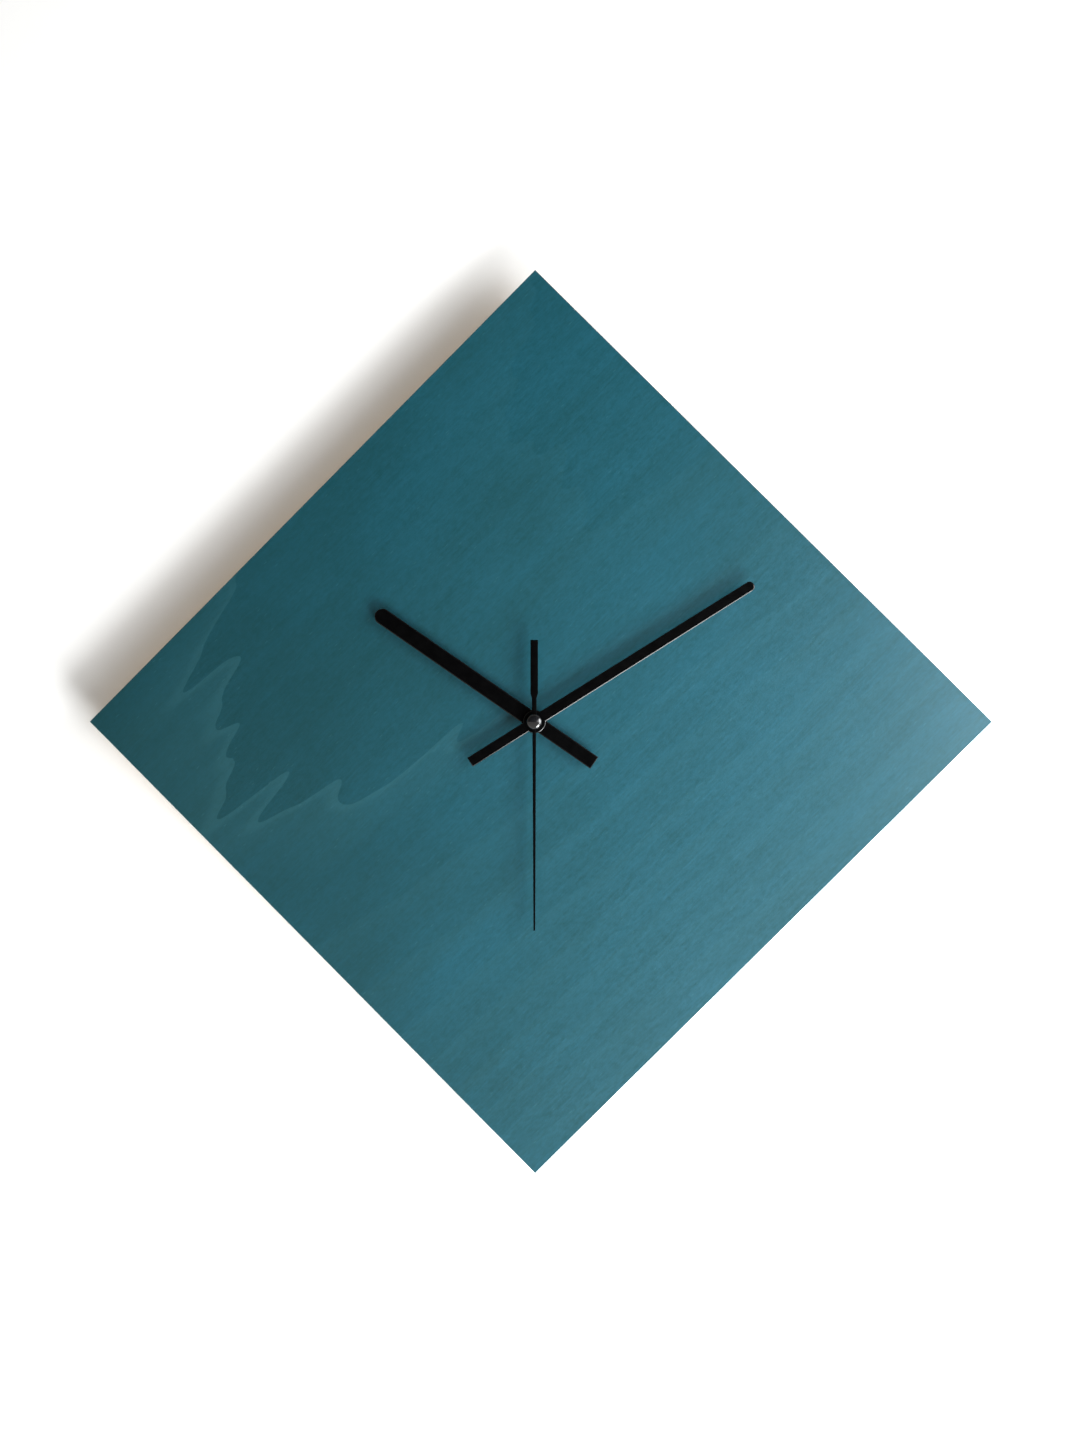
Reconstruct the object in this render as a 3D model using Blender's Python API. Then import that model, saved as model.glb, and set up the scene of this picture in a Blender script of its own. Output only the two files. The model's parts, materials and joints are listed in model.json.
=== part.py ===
"""Square wooden wall clock that hangs on its corner, with a quartz movement behind it.

Run with: blender --background --python part.py

Frame, in metres: +Z is up and the clock looks along -Y. The wall is the plane y = 0 and the
hands turn about the Y axis. A depth is a distance out from the wall, so a depth d is y = -d.
Outlines are lists of (x, z) points, seen from the front and taken anticlockwise.
"""
import math

import bmesh
import bpy

MM = 0.001

# fits
GAP = 0.3 * MM
PRESS_GAP = 0.1 * MM
ROUND_SIDES = 32
COIL_SIDES = 24
MEDIUM_SIDES = 16
SMALL_SIDES = 12
HALF_TURN_STEPS = 16
TIP_STEPS = 6
DOME_STEPS = 6
SMOOTH_ANGLE = math.radians(35)
MERGE_DISTANCE = 0.001 * MM
AXIS_DISPLAY_SIZE = 10 * MM

# panel
PANEL_SIDE = 300 * MM
PANEL_THICKNESS = 4 * MM

# battery, size AA
BATTERY_LENGTH = 50.5 * MM
BATTERY_DIAMETER = 14.2 * MM
BATTERY_NUB_LENGTH = 1.2 * MM
BATTERY_NUB_RADIUS = 2.75 * MM
BATTERY_EDGE = 0.6 * MM
BATTERY_SINK = 0.2 * MM
BATTERY_SIDE_ROOM = 0.7 * MM
BATTERY_COVER_ROOM = 0.5 * MM
SPRING_ROOM = 1.9 * MM
CONTACT_THICKNESS = 0.3 * MM
CONTACT_WALL_GAP = 0.2 * MM
CONTACT_OVERLAP = 1.5 * MM
SPRING_HALF_HEIGHT = 1.7 * MM

# case
CASE_WALL = 1.4 * MM
BAY_WALL = 1.2 * MM
COVER_THICKNESS = 1.1 * MM
TRAIN_MARGIN = 1.4 * MM
POST_RADIUS = 1.3 * MM
BOARD_STUB_RADIUS = 1.2 * MM
BRIDGE_THICKNESS = 1.0 * MM
BRIDGE_INSET = 0.9 * MM
RUBBER_RADIUS = 11 * MM
RUBBER_THICKNESS = 0.7 * MM

# hanging loop
LOOP_HALF_WIDTH = 8 * MM
LOOP_SHOULDER = 2 * MM
LOOP_THICKNESS = 2.2 * MM
LOOP_HOLE_RADIUS = 4.5 * MM
LOOP_HOLE_RISE = 1.3 * MM
LOOP_ROOT = 1.0 * MM

# gear teeth: stub involute
PRESSURE_ANGLE = math.radians(25)
ADDENDUM = 0.75
DEDENDUM = 1.0
TOOTH_THINNING = 0.12

# gear train: tooth counts
PINION_TEETH = 8
INTERMEDIATE_TEETH = 40
SECONDS_TEETH = 48
THIRD_TEETH = 60
CENTRE_TEETH = 64
CANNON_TEETH = 10
MINUTE_TEETH = 30
HOUR_TEETH = 32
SETTING_TEETH = 12

# gear train: modules, arbors and levels
ROTOR_MODULE = 0.30 * MM
SECONDS_MODULE = 0.34 * MM
THIRD_MODULE = 0.28 * MM
MOTION_MODULE = 0.40 * MM
WHEEL_THICKNESS = 1.0 * MM
LEVEL_STEP = 1.6 * MM
FIRST_LEVEL = 2.0 * MM
ARBOR_RADIUS = 0.5 * MM
PIVOT_RADIUS = 0.3 * MM
PIVOT_LENGTH = 1.0 * MM
BLIND_FLOOR = 0.4 * MM
THIRD_DIRECTION = math.radians(150)
INTERMEDIATE_DIRECTION = math.radians(60)
ROTOR_DIRECTION = math.radians(20)
MINUTE_WHEEL_DIRECTION = math.radians(195)
SETTING_DIRECTION = math.radians(180)

# stepping motor
MAGNET_RADIUS = 3.0 * MM
MAGNET_THICKNESS = 2.4 * MM
ROTOR_HUB_RADIUS = 0.8 * MM
STATOR_AIR_GAP = 0.6 * MM
STATOR_NECK = 0.4 * MM
STATOR_NOTCH = 0.25 * MM
STATOR_NOTCH_HALF_ANGLE = math.radians(9)
STATOR_NOTCH_FLOOR = 0.6
POLE_STEPS = 12
STATOR_THICKNESS = 0.8 * MM
STATOR_HALF_LENGTH = 15 * MM
STATOR_TAB = 3.0 * MM
COIL_STAND_OFF = 1.4 * MM
CORE_HALF_WIDTH = 2.0 * MM
CORE_THICKNESS = 1.2 * MM
BOBBIN_WALL = 0.6 * MM
BOBBIN_FLANGE = 0.8 * MM
BOBBIN_FLANGE_RADIUS = 4.3 * MM
WINDING_DEPTH = 0.8 * MM

# circuit board
BOARD_THICKNESS = 0.8 * MM
BOARD_RIGHT = -1.0 * MM
BOARD_LEVEL = 3.0 * MM
CHIP_RADIUS = 3.2 * MM
CHIP_HEIGHT = 1.0 * MM
CHIP_DOME_STEPS = 4
CRYSTAL_RADIUS = 1.0 * MM
CRYSTAL_LENGTH = 6.0 * MM

# tubes at the centre, from the inside out
CANNON_RADIUS = 1.5 * MM
TUBE_WALL = 0.7 * MM
FLANGE_RADIUS = 5.0 * MM
FLANGE_THICKNESS = 1.0 * MM
FLANGE_ROOM = 0.8 * MM
WASHER_RADIUS = 5.1 * MM
WASHER_THICKNESS = 0.5 * MM
NUT_HALF_WIDTH = 4.5 * MM
NUT_THICKNESS = 2.0 * MM
THREAD_STAND_OUT = 0.5 * MM

# setting knob
KNOB_RADIUS = 5.0 * MM
KNOB_THICKNESS = 2.8 * MM
KNOB_SINK = 0.4 * MM
KNOB_NOTCH = 0.3 * MM
KNOB_RIBS = 18
KNOB_SHAFT_RADIUS = 1.2 * MM
CUP_WALL = 0.8 * MM
CUP_FLOOR = 1.0 * MM

# hands
HAND_THICKNESS = 0.7 * MM
HAND_STEP = 1.6 * MM
HAND_TUBE_STAND_OUT = 0.3 * MM
HOUR_LENGTH = 90.5 * MM
HOUR_TAIL = 33.8 * MM
HOUR_WIDTH = 7.5 * MM
HOUR_TAIL_WIDTH = 6.6 * MM
HOUR_DISC_RADIUS = 5.0 * MM
MINUTE_LENGTH = 120 * MM
MINUTE_TAIL = 35.6 * MM
MINUTE_WIDTH = 5.3 * MM
MINUTE_TIP_WIDTH = 4.7 * MM
MINUTE_TAIL_WIDTH = 4.9 * MM
MINUTE_DISC_RADIUS = 5.3 * MM
SECOND_LENGTH = 97 * MM
SECOND_TAIL = 38 * MM
SECOND_HUB_WIDTH = 1.7 * MM
SECOND_TIP_WIDTH = 0.6 * MM
SECOND_NECK_WIDTH = 2.1 * MM
SECOND_TAIL_WIDTH = 3.5 * MM
SECOND_TAIL_START = 11 * MM
SECOND_TAIL_SHOULDER = 2 * MM
SECOND_DISC_RADIUS = 2.4 * MM
SECOND_THICKNESS = 0.5 * MM
COLLET_WALL = 0.9 * MM
COLLET_NECK = 0.5 * MM
CAP_RADIUS = 3.5 * MM
CAP_RIM = 0.5 * MM
CAP_DOME = 1.3 * MM

# hand angles at rest, clockwise from twelve
HOUR_ANGLE = math.radians(304.6)
MINUTE_ANGLE = math.radians(57.9)
SECOND_ANGLE = math.radians(180)


# ---------------------------------------------------------------- derived places


def polar(start, distance, direction):
    """Point at a distance and direction from another point."""
    x = start[0] + distance * math.cos(direction)
    z = start[1] + distance * math.sin(direction)
    return (x, z)


def direction_clear_of(obstacle, room, start, distance, direction):
    """Direction in which a point ends at least `room` from an obstacle, turned on only if it has to be."""
    apart = math.hypot(start[0] - obstacle[0], start[1] - obstacle[1])
    away = math.atan2(start[1] - obstacle[1], start[0] - obstacle[0]) % (2 * math.pi)
    cosine = (room ** 2 - apart ** 2 - distance ** 2) / (2 * apart * distance)
    return max(direction, away - math.acos(max(-1.0, min(1.0, cosine))))


def centre_distance(teeth_a, teeth_b, module):
    return (teeth_a + teeth_b) * module / 2


def tip_radius(teeth, module):
    return teeth * module / 2 + ADDENDUM * module


def module_for(distance, teeth_a, teeth_b):
    return 2 * distance / (teeth_a + teeth_b)


CENTRE = (0.0, 0.0)
arbor_room = ARBOR_RADIUS + GAP

# the third arbor stands clear of the seconds wheel, and the intermediate arbor of the centre wheel
third_distance = max(
    centre_distance(PINION_TEETH, THIRD_TEETH, THIRD_MODULE),
    tip_radius(SECONDS_TEETH, SECONDS_MODULE) + arbor_room,
)
third_module = module_for(third_distance, PINION_TEETH, THIRD_TEETH)
centre_module = module_for(third_distance, PINION_TEETH, CENTRE_TEETH)
seconds_distance = max(
    centre_distance(PINION_TEETH, SECONDS_TEETH, SECONDS_MODULE),
    tip_radius(CENTRE_TEETH, centre_module) + arbor_room,
)
seconds_module = module_for(seconds_distance, PINION_TEETH, SECONDS_TEETH)
rotor_distance = centre_distance(PINION_TEETH, INTERMEDIATE_TEETH, ROTOR_MODULE)

# the cannon pinion's teeth stand on its tube
motion_module = max(MOTION_MODULE, (CANNON_RADIUS + PRESS_GAP) / (CANNON_TEETH / 2 - DEDENDUM))
minute_distance = centre_distance(CANNON_TEETH, MINUTE_TEETH, motion_module)
setting_distance = centre_distance(MINUTE_TEETH, SETTING_TEETH, motion_module)

third_axis = polar(CENTRE, third_distance, THIRD_DIRECTION)
intermediate_axis = polar(CENTRE, seconds_distance, INTERMEDIATE_DIRECTION)
rotor_axis = polar(intermediate_axis, rotor_distance, ROTOR_DIRECTION)
minute_wheel_axis = polar(CENTRE, minute_distance, MINUTE_WHEEL_DIRECTION)

# the knob's shaft stands clear of the third wheel
setting_direction = direction_clear_of(
    third_axis,
    tip_radius(THIRD_TEETH, third_module) + KNOB_SHAFT_RADIUS + GAP,
    minute_wheel_axis,
    setting_distance,
    SETTING_DIRECTION,
)
setting_axis = polar(minute_wheel_axis, setting_distance, setting_direction)

# levels of the train, from the wall outwards
rotor_level = FIRST_LEVEL
seconds_level = rotor_level + LEVEL_STEP
third_level = seconds_level + LEVEL_STEP
centre_level = third_level + LEVEL_STEP
bridge_level = centre_level + LEVEL_STEP
minute_level = bridge_level + BRIDGE_THICKNESS + LEVEL_STEP / 2
hour_level = minute_level + LEVEL_STEP
flange_level = hour_level + WHEEL_THICKNESS + FLANGE_ROOM

# battery bay and case
battery_radius = BATTERY_DIAMETER / 2
battery_depth = BATTERY_SINK + battery_radius
cover_level = max(
    flange_level + FLANGE_THICKNESS + GAP,
    BATTERY_SINK + BATTERY_DIAMETER + BATTERY_COVER_ROOM,
)
shell_depth = cover_level - GAP
case_depth = cover_level + COVER_THICKNESS
bay_height = BATTERY_DIAMETER + 2 * BATTERY_SIDE_ROOM
recess_radius = KNOB_RADIUS + GAP
cup_radius = recess_radius + CUP_WALL
train_below = TRAIN_MARGIN + max(
    tip_radius(CENTRE_TEETH, centre_module),
    tip_radius(MINUTE_TEETH, motion_module) - minute_wheel_axis[1],
    cup_radius - setting_axis[1],
)
stator_half_width = MAGNET_RADIUS + STATOR_AIR_GAP + STATOR_NECK
coil_x = rotor_axis[0] + stator_half_width + COIL_STAND_OFF + BOBBIN_FLANGE_RADIUS
contact_room = CONTACT_WALL_GAP + CONTACT_THICKNESS + GAP
inner_half = max(
    (BATTERY_LENGTH + SPRING_ROOM + contact_room) / 2,
    train_below + BAY_WALL + bay_height,
    coil_x + BOBBIN_FLANGE_RADIUS + contact_room,
    rotor_axis[1] + STATOR_HALF_LENGTH + contact_room,
)
case_half = inner_half + CASE_WALL
bay_top = -(train_below + BAY_WALL)
battery_z = (bay_top - inner_half) / 2
battery_positive_x = inner_half - contact_room
battery_negative_x = battery_positive_x - BATTERY_LENGTH
contact_line = inner_half - CONTACT_WALL_GAP - CONTACT_THICKNESS / 2
contact_face = contact_line - CONTACT_THICKNESS / 2
contact_front = battery_depth + CONTACT_OVERLAP

# tubes at the centre
seconds_bore = ARBOR_RADIUS + GAP
hour_bore = CANNON_RADIUS + GAP
hour_radius = hour_bore + TUBE_WALL
bushing_bore = hour_radius + GAP
bushing_radius = bushing_bore + TUBE_WALL
bushing_hole = bushing_radius + GAP

# stack in front of the movement
rubber_level = case_depth + GAP
panel_back = rubber_level + RUBBER_THICKNESS + GAP
panel_front = panel_back + PANEL_THICKNESS
washer_level = panel_front + GAP
nut_level = washer_level + WASHER_THICKNESS + GAP
bushing_end = nut_level + NUT_THICKNESS + THREAD_STAND_OUT
hour_hand_level = bushing_end + GAP
minute_hand_level = hour_hand_level + HAND_STEP
hour_tube_end = hour_hand_level + HAND_THICKNESS + HAND_TUBE_STAND_OUT
minute_tube_end = minute_hand_level + HAND_THICKNESS + HAND_TUBE_STAND_OUT
collet_level = minute_tube_end + GAP
collet_shoulder = collet_level + COLLET_WALL
second_hand_level = collet_shoulder + GAP
cap_level = second_hand_level + SECOND_THICKNESS + GAP
collet_bore = ARBOR_RADIUS + PRESS_GAP
collet_neck_radius = collet_bore + COLLET_NECK
collet_end = cap_level + CAP_RIM

# circuit board
board_left = -contact_face + GAP
board_top = contact_face - GAP
board_bottom = intermediate_axis[1] + tip_radius(INTERMEDIATE_TEETH, ROTOR_MODULE) + GAP
board_front = BOARD_LEVEL + BOARD_THICKNESS

bridge_left = -(inner_half - BRIDGE_INSET)
bridge_right = coil_x - BOBBIN_FLANGE_RADIUS - GAP
bridge_top = inner_half - BRIDGE_INSET
bridge_bottom = -(train_below - GAP)
post_inset = POST_RADIUS + BRIDGE_INSET
post_places = [
    (-(inner_half - post_inset), board_bottom - post_inset - POST_RADIUS),
    (-(inner_half - post_inset), -(train_below - post_inset)),
    (rotor_axis[0] - stator_half_width - 2 * post_inset, inner_half - post_inset),
    (rotor_axis[0] - stator_half_width - POST_RADIUS - GAP, -(train_below - POST_RADIUS / 2)),
]
board_stub_places = [
    (board_left + 3 * BOARD_STUB_RADIUS, board_bottom + 2 * BOARD_STUB_RADIUS),
    (BOARD_RIGHT - 3 * BOARD_STUB_RADIUS, board_top - 3 * BOARD_STUB_RADIUS),
]


# ---------------------------------------------------------------- outlines


def arc(centre, radius, start, end, steps):
    """Points on an arc, with both of its ends."""
    return [polar(centre, radius, start + (end - start) * step / steps) for step in range(steps + 1)]


def dome(radius, base, rise, steps):
    """Profile of a dome, from the first point above its rim to its top on the axis."""
    points = []
    for step in range(1, steps):
        angle = math.pi / 2 * step / steps
        points.append((radius * math.cos(angle), base + rise * math.sin(angle)))
    return points + [(0.0, base + rise)]


def circle(radius, sides=ROUND_SIDES, centre=CENTRE):
    points = []
    for step in range(sides):
        points.append(polar(centre, radius, 2 * math.pi * step / sides))
    return points


def rectangle(left, bottom, right, top):
    return [(left, bottom), (right, bottom), (right, top), (left, top)]


def involute(angle):
    return math.tan(angle) - angle


def half_tooth(radius, pitch_radius, module):
    """Half the angle that a tooth fills at a radius; below the base circle its sides are radial."""
    base_radius = pitch_radius * math.cos(PRESSURE_ANGLE)
    at_pitch = (math.pi / 2 - TOOTH_THINNING) * module / (2 * pitch_radius)
    here = math.acos(base_radius / max(radius, base_radius))
    return at_pitch + involute(PRESSURE_ANGLE) - involute(here)


def gear_outline(teeth, module, first_tooth=0.0):
    """Gear outline. Small pinions get their base and pitch circles as extra points."""
    pitch_radius = teeth * module / 2
    root = pitch_radius - DEDENDUM * module
    base = pitch_radius * math.cos(PRESSURE_ANGLE)
    tip = tip_radius(teeth, module)
    radii = [root, tip]
    if root < base:
        radii = [root, base, pitch_radius, tip]
    points = []
    for number in range(teeth):
        middle = first_tooth + 2 * math.pi * number / teeth
        for radius in radii:
            points.append(polar(CENTRE, radius, middle - half_tooth(radius, pitch_radius, module)))
        for radius in reversed(radii):
            points.append(polar(CENTRE, radius, middle + half_tooth(radius, pitch_radius, module)))
    return points


def meshing_tooth(driver_tooth, driver_teeth, teeth, direction):
    """Angle of a tooth on a gear so that its gap faces a tooth of the driver."""
    offset = (driver_tooth - direction) * driver_teeth / teeth
    return direction + math.pi - offset + math.pi / teeth


def turned_by(outline, angle):
    """Outline turned clockwise, as a hand turns."""
    cos = math.cos(angle)
    sin = math.sin(angle)
    return [(x * cos + z * sin, z * cos - x * sin) for x, z in outline]


def hand_outline(length, tail, hub_width, tip_width, tail_width, disc_radius):
    """Hand that points to twelve: a round-tipped bar with a disc round its arbor and a square tail."""
    half = hub_width / 2
    tail_half = tail_width / 2
    tip_half = tip_width / 2
    tail_side = math.asin(tail_half / disc_radius)
    front_side = math.asin(half / disc_radius)
    right = [(tail_half, -tail)]
    right += arc(CENTRE, disc_radius, tail_side - math.pi / 2, math.pi / 2 - front_side, TIP_STEPS)
    tip = arc((0.0, length - tip_half), tip_half, 0.0, math.pi, TIP_STEPS)
    left = [(-x, z) for x, z in reversed(right)]
    return right + tip + left


def second_hand_outline():
    """Needle, disc and a neck that widens to the counterweight."""
    tail_half = SECOND_TAIL_WIDTH / 2
    neck_half = SECOND_NECK_WIDTH / 2
    hub_half = SECOND_HUB_WIDTH / 2
    tip_half = SECOND_TIP_WIDTH / 2
    neck_side = math.asin(neck_half / SECOND_DISC_RADIUS)
    needle_side = math.asin(hub_half / SECOND_DISC_RADIUS)
    right = [
        (tail_half, -SECOND_TAIL),
        (tail_half, -(SECOND_TAIL_START + SECOND_TAIL_SHOULDER)),
        (neck_half, -SECOND_TAIL_START),
    ]
    start = neck_side - math.pi / 2
    right += arc(CENTRE, SECOND_DISC_RADIUS, start, math.pi / 2 - needle_side, TIP_STEPS)
    right.append((tip_half, SECOND_LENGTH))
    left = [(-x, z) for x, z in reversed(right)]
    return right + left


def strip_outline(path, thickness):
    """Outline of a bent metal strip seen on its edge."""
    left = []
    right = []
    last = len(path) - 1
    for index, (x, z) in enumerate(path):
        before = path[max(index - 1, 0)]
        after = path[min(index + 1, last)]
        into = math.atan2(z - before[1], x - before[0])
        out = math.atan2(after[1] - z, after[0] - x)
        if index == 0:
            into = out
        if index == last:
            out = into
        bend = (out - into) / 2
        side = into + bend + math.pi / 2
        reach = thickness / 2 / math.cos(bend)
        left.append(polar((x, z), reach, side))
        right.append(polar((x, z), -reach, side))
    return right + left[::-1]


# ---------------------------------------------------------------- solids


def material(name, colour, roughness, metallic=0.0):
    made = bpy.data.materials.new(name)
    made.use_nodes = True
    shader = made.node_tree.nodes["Principled BSDF"]
    shader.inputs["Base Color"].default_value = (*colour, 1.0)
    shader.inputs["Roughness"].default_value = roughness
    shader.inputs["Metallic"].default_value = metallic
    made.diffuse_color = (*colour, 1.0)
    return made


def add_object(name, bm, finish, place=CENTRE, parent=None):
    """Put a finished mesh in the scene with its origin on the axis at `place`."""
    bmesh.ops.recalc_face_normals(bm, faces=bm.faces)
    mesh = bpy.data.meshes.new(name)
    bm.to_mesh(mesh)
    bm.free()
    mesh.shade_smooth()
    mesh.set_sharp_from_angle(angle=SMOOTH_ANGLE)
    mesh.materials.append(finish)
    made = bpy.data.objects.new(name, mesh)
    bpy.context.collection.objects.link(made)
    if parent is None:
        made.location = (place[0], 0.0, place[1])
    else:
        made.parent = parent
    return made


def add_axis(name, place):
    """Empty that stands on a turning axis and carries the pieces that turn about it."""
    axis = bpy.data.objects.new(name, None)
    axis.empty_display_size = AXIS_DISPLAY_SIZE
    axis.location = (place[0], 0.0, place[1])
    bpy.context.collection.objects.link(axis)
    return axis


def add_loop(bm, outline, depth):
    return [bm.verts.new((x, -depth, z)) for x, z in outline]


def join_loops(bm, low, high):
    for index in range(len(low)):
        bm.faces.new((low[index - 1], low[index], high[index], high[index - 1]))


def fill_between(bm, loops):
    """Flat face bounded by one loop, with the other loops as its holes."""
    edges = []
    for loop in loops:
        for index in range(len(loop)):
            edges.append(bm.edges.get((loop[index - 1], loop[index])))
    bmesh.ops.triangle_fill(bm, use_beauty=True, use_dissolve=False, edges=edges, normal=(0, -1, 0))


def stacked(layers, holes=()):
    """Solid made of layers (outline, rear depth, front depth), with holes right through it.

    Layers follow each other outwards from the wall, and of two that meet one holds the other.
    """
    bm = bmesh.new()
    rear_depth = layers[0][1]
    front_depth = layers[-1][2]
    hole_rear = [add_loop(bm, hole, rear_depth) for hole in holes]
    hole_front = [add_loop(bm, hole, front_depth) for hole in holes]
    for low, high in zip(hole_rear, hole_front):
        join_loops(bm, low, high)
    previous = None
    for outline, low_depth, high_depth in layers:
        low = add_loop(bm, outline, low_depth)
        high = add_loop(bm, outline, high_depth)
        join_loops(bm, low, high)
        if previous is None:
            fill_between(bm, [low] + hole_rear)
        else:
            fill_between(bm, [previous, low])
        previous = high
    fill_between(bm, [previous] + hole_front)
    return bm


def plate(outline, rear, front, holes=()):
    return stacked([(outline, rear, front)], holes)


def turned(profile, sides=ROUND_SIDES):
    """Solid turned about the depth axis from (radius, depth) points.

    A profile that starts and ends on the axis is open; any other one closes on itself.
    """
    bm = bmesh.new()
    verts = [bm.verts.new((radius, -depth, 0.0)) for radius, depth in profile]
    edges = [bm.edges.new(pair) for pair in zip(verts[:-1], verts[1:])]
    if profile[0][0] > 0:
        edges.append(bm.edges.new((verts[-1], verts[0])))
    bmesh.ops.spin(
        bm,
        geom=verts + edges,
        cent=(0, 0, 0),
        axis=(0, 1, 0),
        angle=2 * math.pi,
        steps=sides,
        use_merge=True,
    )
    bmesh.ops.remove_doubles(bm, verts=bm.verts, dist=MERGE_DISTANCE)
    return bm


def boolean(target, tool, operation):
    """Cut a tool out of a piece, or join it on. The tool itself isn't a piece."""
    tool.hide_render = True
    tool.display_type = "WIRE"
    change = target.modifiers.new(tool.name, "BOOLEAN")
    change.operation = operation
    change.solver = "EXACT"
    change.object = tool


def geared_arbor(wheel, wheel_level, pinion, pinion_level, front_end, rear_end=None):
    """Wheel and pinion moulded on one arbor that ends in a pivot at each side."""
    arbor = circle(ARBOR_RADIUS, SMALL_SIDES)
    pivot = circle(PIVOT_RADIUS, SMALL_SIDES)
    start = BLIND_FLOOR + GAP if rear_end is None else rear_end
    shoulder = start + PIVOT_LENGTH
    gears = sorted([(wheel_level, wheel), (pinion_level, pinion)], key=lambda gear: gear[0])
    layers = [(pivot, start, shoulder)]
    depth = shoulder
    for level, outline in gears:
        if level > depth:
            layers.append((arbor, depth, level))
        layers.append((outline, level, level + WHEEL_THICKNESS))
        depth = level + WHEEL_THICKNESS
    layers.append((arbor, depth, front_end - PIVOT_LENGTH))
    layers.append((pivot, front_end - PIVOT_LENGTH, front_end))
    return stacked(layers)


# ---------------------------------------------------------------- case


def make_case(finish):
    shell = add_object(
        "movement_case",
        plate(rectangle(-case_half, -case_half, case_half, case_half), 0.0, shell_depth),
        finish,
    )
    beyond = CASE_WALL
    pocket = rectangle(-inner_half, -train_below, inner_half, inner_half)
    bay = rectangle(-inner_half, -inner_half, inner_half, bay_top)
    boolean(
        shell,
        add_object("cut_train_pocket", plate(pocket, CASE_WALL, shell_depth + beyond), finish),
        "DIFFERENCE",
    )
    boolean(
        shell,
        add_object("cut_battery_bay", plate(bay, -beyond, shell_depth + beyond), finish),
        "DIFFERENCE",
    )
    slot_inner = contact_face - GAP
    for side, left, right in (("left", -inner_half, -slot_inner), ("right", slot_inner, inner_half)):
        slot = rectangle(left, bay_top - BAY_WALL, right, -train_below + BAY_WALL)
        boolean(
            shell,
            add_object(
                "cut_contact_slot_" + side,
                plate(slot, BOARD_LEVEL - GAP, shell_depth + beyond),
                finish,
            ),
            "DIFFERENCE",
        )

    root = CASE_WALL / 2
    for number, place in enumerate(post_places, start=1):
        post = plate(circle(POST_RADIUS, SMALL_SIDES), root, bridge_level - GAP)
        boolean(shell, add_object(f"add_bridge_post_{number}", post, finish, place), "UNION")
    for number, place in enumerate(board_stub_places, start=1):
        stub = plate(circle(BOARD_STUB_RADIUS, SMALL_SIDES), root, BOARD_LEVEL - GAP)
        boolean(shell, add_object(f"add_board_stub_{number}", stub, finish, place), "UNION")

    recess_depth = KNOB_SINK + KNOB_THICKNESS + GAP
    cup = plate(circle(cup_radius), root, recess_depth + CUP_FLOOR)
    boolean(shell, add_object("add_knob_cup", cup, finish, setting_axis), "UNION")
    recess = plate(circle(recess_radius), -beyond, recess_depth)
    boolean(shell, add_object("cut_knob_recess", recess, finish, setting_axis), "DIFFERENCE")
    shaft_hole = plate(circle(setting_hole_radius()), recess_depth - GAP, case_depth)
    boolean(shell, add_object("cut_knob_hole", shaft_hole, finish, setting_axis), "DIFFERENCE")

    for name, place in (
        ("centre", CENTRE),
        ("third", third_axis),
        ("intermediate", intermediate_axis),
        ("rotor", rotor_axis),
    ):
        hole = plate(circle(PIVOT_RADIUS + GAP, SMALL_SIDES), BLIND_FLOOR, CASE_WALL + BLIND_FLOOR)
        boolean(shell, add_object(f"cut_{name}_pivot", hole, finish, place), "DIFFERENCE")

    loop_base = case_half + LOOP_SHOULDER
    arch = [(LOOP_HALF_WIDTH, case_half - LOOP_ROOT)]
    arch += arc((0.0, loop_base), LOOP_HALF_WIDTH, 0.0, math.pi, HALF_TURN_STEPS)
    arch.append((-LOOP_HALF_WIDTH, case_half - LOOP_ROOT))
    boolean(shell, add_object("add_hanging_loop", plate(arch, 0.0, LOOP_THICKNESS), finish), "UNION")
    hole_base = case_half + LOOP_HOLE_RISE
    eye = [(LOOP_HOLE_RADIUS, hole_base)]
    middle = (0.0, loop_base + LOOP_HOLE_RISE / 2)
    eye += arc(middle, LOOP_HOLE_RADIUS, 0.0, math.pi, HALF_TURN_STEPS)
    eye.append((-LOOP_HOLE_RADIUS, hole_base))
    hole = plate(eye, -beyond, LOOP_THICKNESS + beyond)
    boolean(shell, add_object("cut_loop_eye", hole, finish), "DIFFERENCE")


def setting_hole_radius():
    return tip_radius(SETTING_TEETH, motion_module) + GAP


def make_cover_and_bridge(case_finish, bridge_finish):
    blind = circle(PIVOT_RADIUS + GAP, SMALL_SIDES)
    cover = add_object(
        "movement_front_cover",
        plate(
            rectangle(-case_half, -case_half, case_half, case_half),
            cover_level,
            case_depth,
            [circle(bushing_hole)],
        ),
        case_finish,
    )
    socket = plate(blind, cover_level - CASE_WALL, case_depth - BLIND_FLOOR / 2)
    boolean(
        cover,
        add_object("cut_minute_wheel_pivot", socket, case_finish, minute_wheel_axis),
        "DIFFERENCE",
    )
    holes = [circle(CANNON_RADIUS + GAP)]
    for place in (third_axis, intermediate_axis, rotor_axis, minute_wheel_axis):
        holes.append(circle(PIVOT_RADIUS + GAP, SMALL_SIDES, place))
    holes.append(circle(setting_hole_radius(), ROUND_SIDES, setting_axis))
    add_object(
        "train_bridge",
        plate(
            rectangle(bridge_left, bridge_bottom, bridge_right, bridge_top),
            bridge_level,
            bridge_level + BRIDGE_THICKNESS,
            holes,
        ),
        bridge_finish,
    )


# ---------------------------------------------------------------- panel and its fastening


def make_panel(finish):
    corner = PANEL_SIDE / math.sqrt(2)
    diamond = [(corner, 0.0), (0.0, corner), (-corner, 0.0), (0.0, -corner)]
    add_object("dial_panel", plate(diamond, panel_back, panel_front, [circle(bushing_hole)]), finish)


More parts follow.
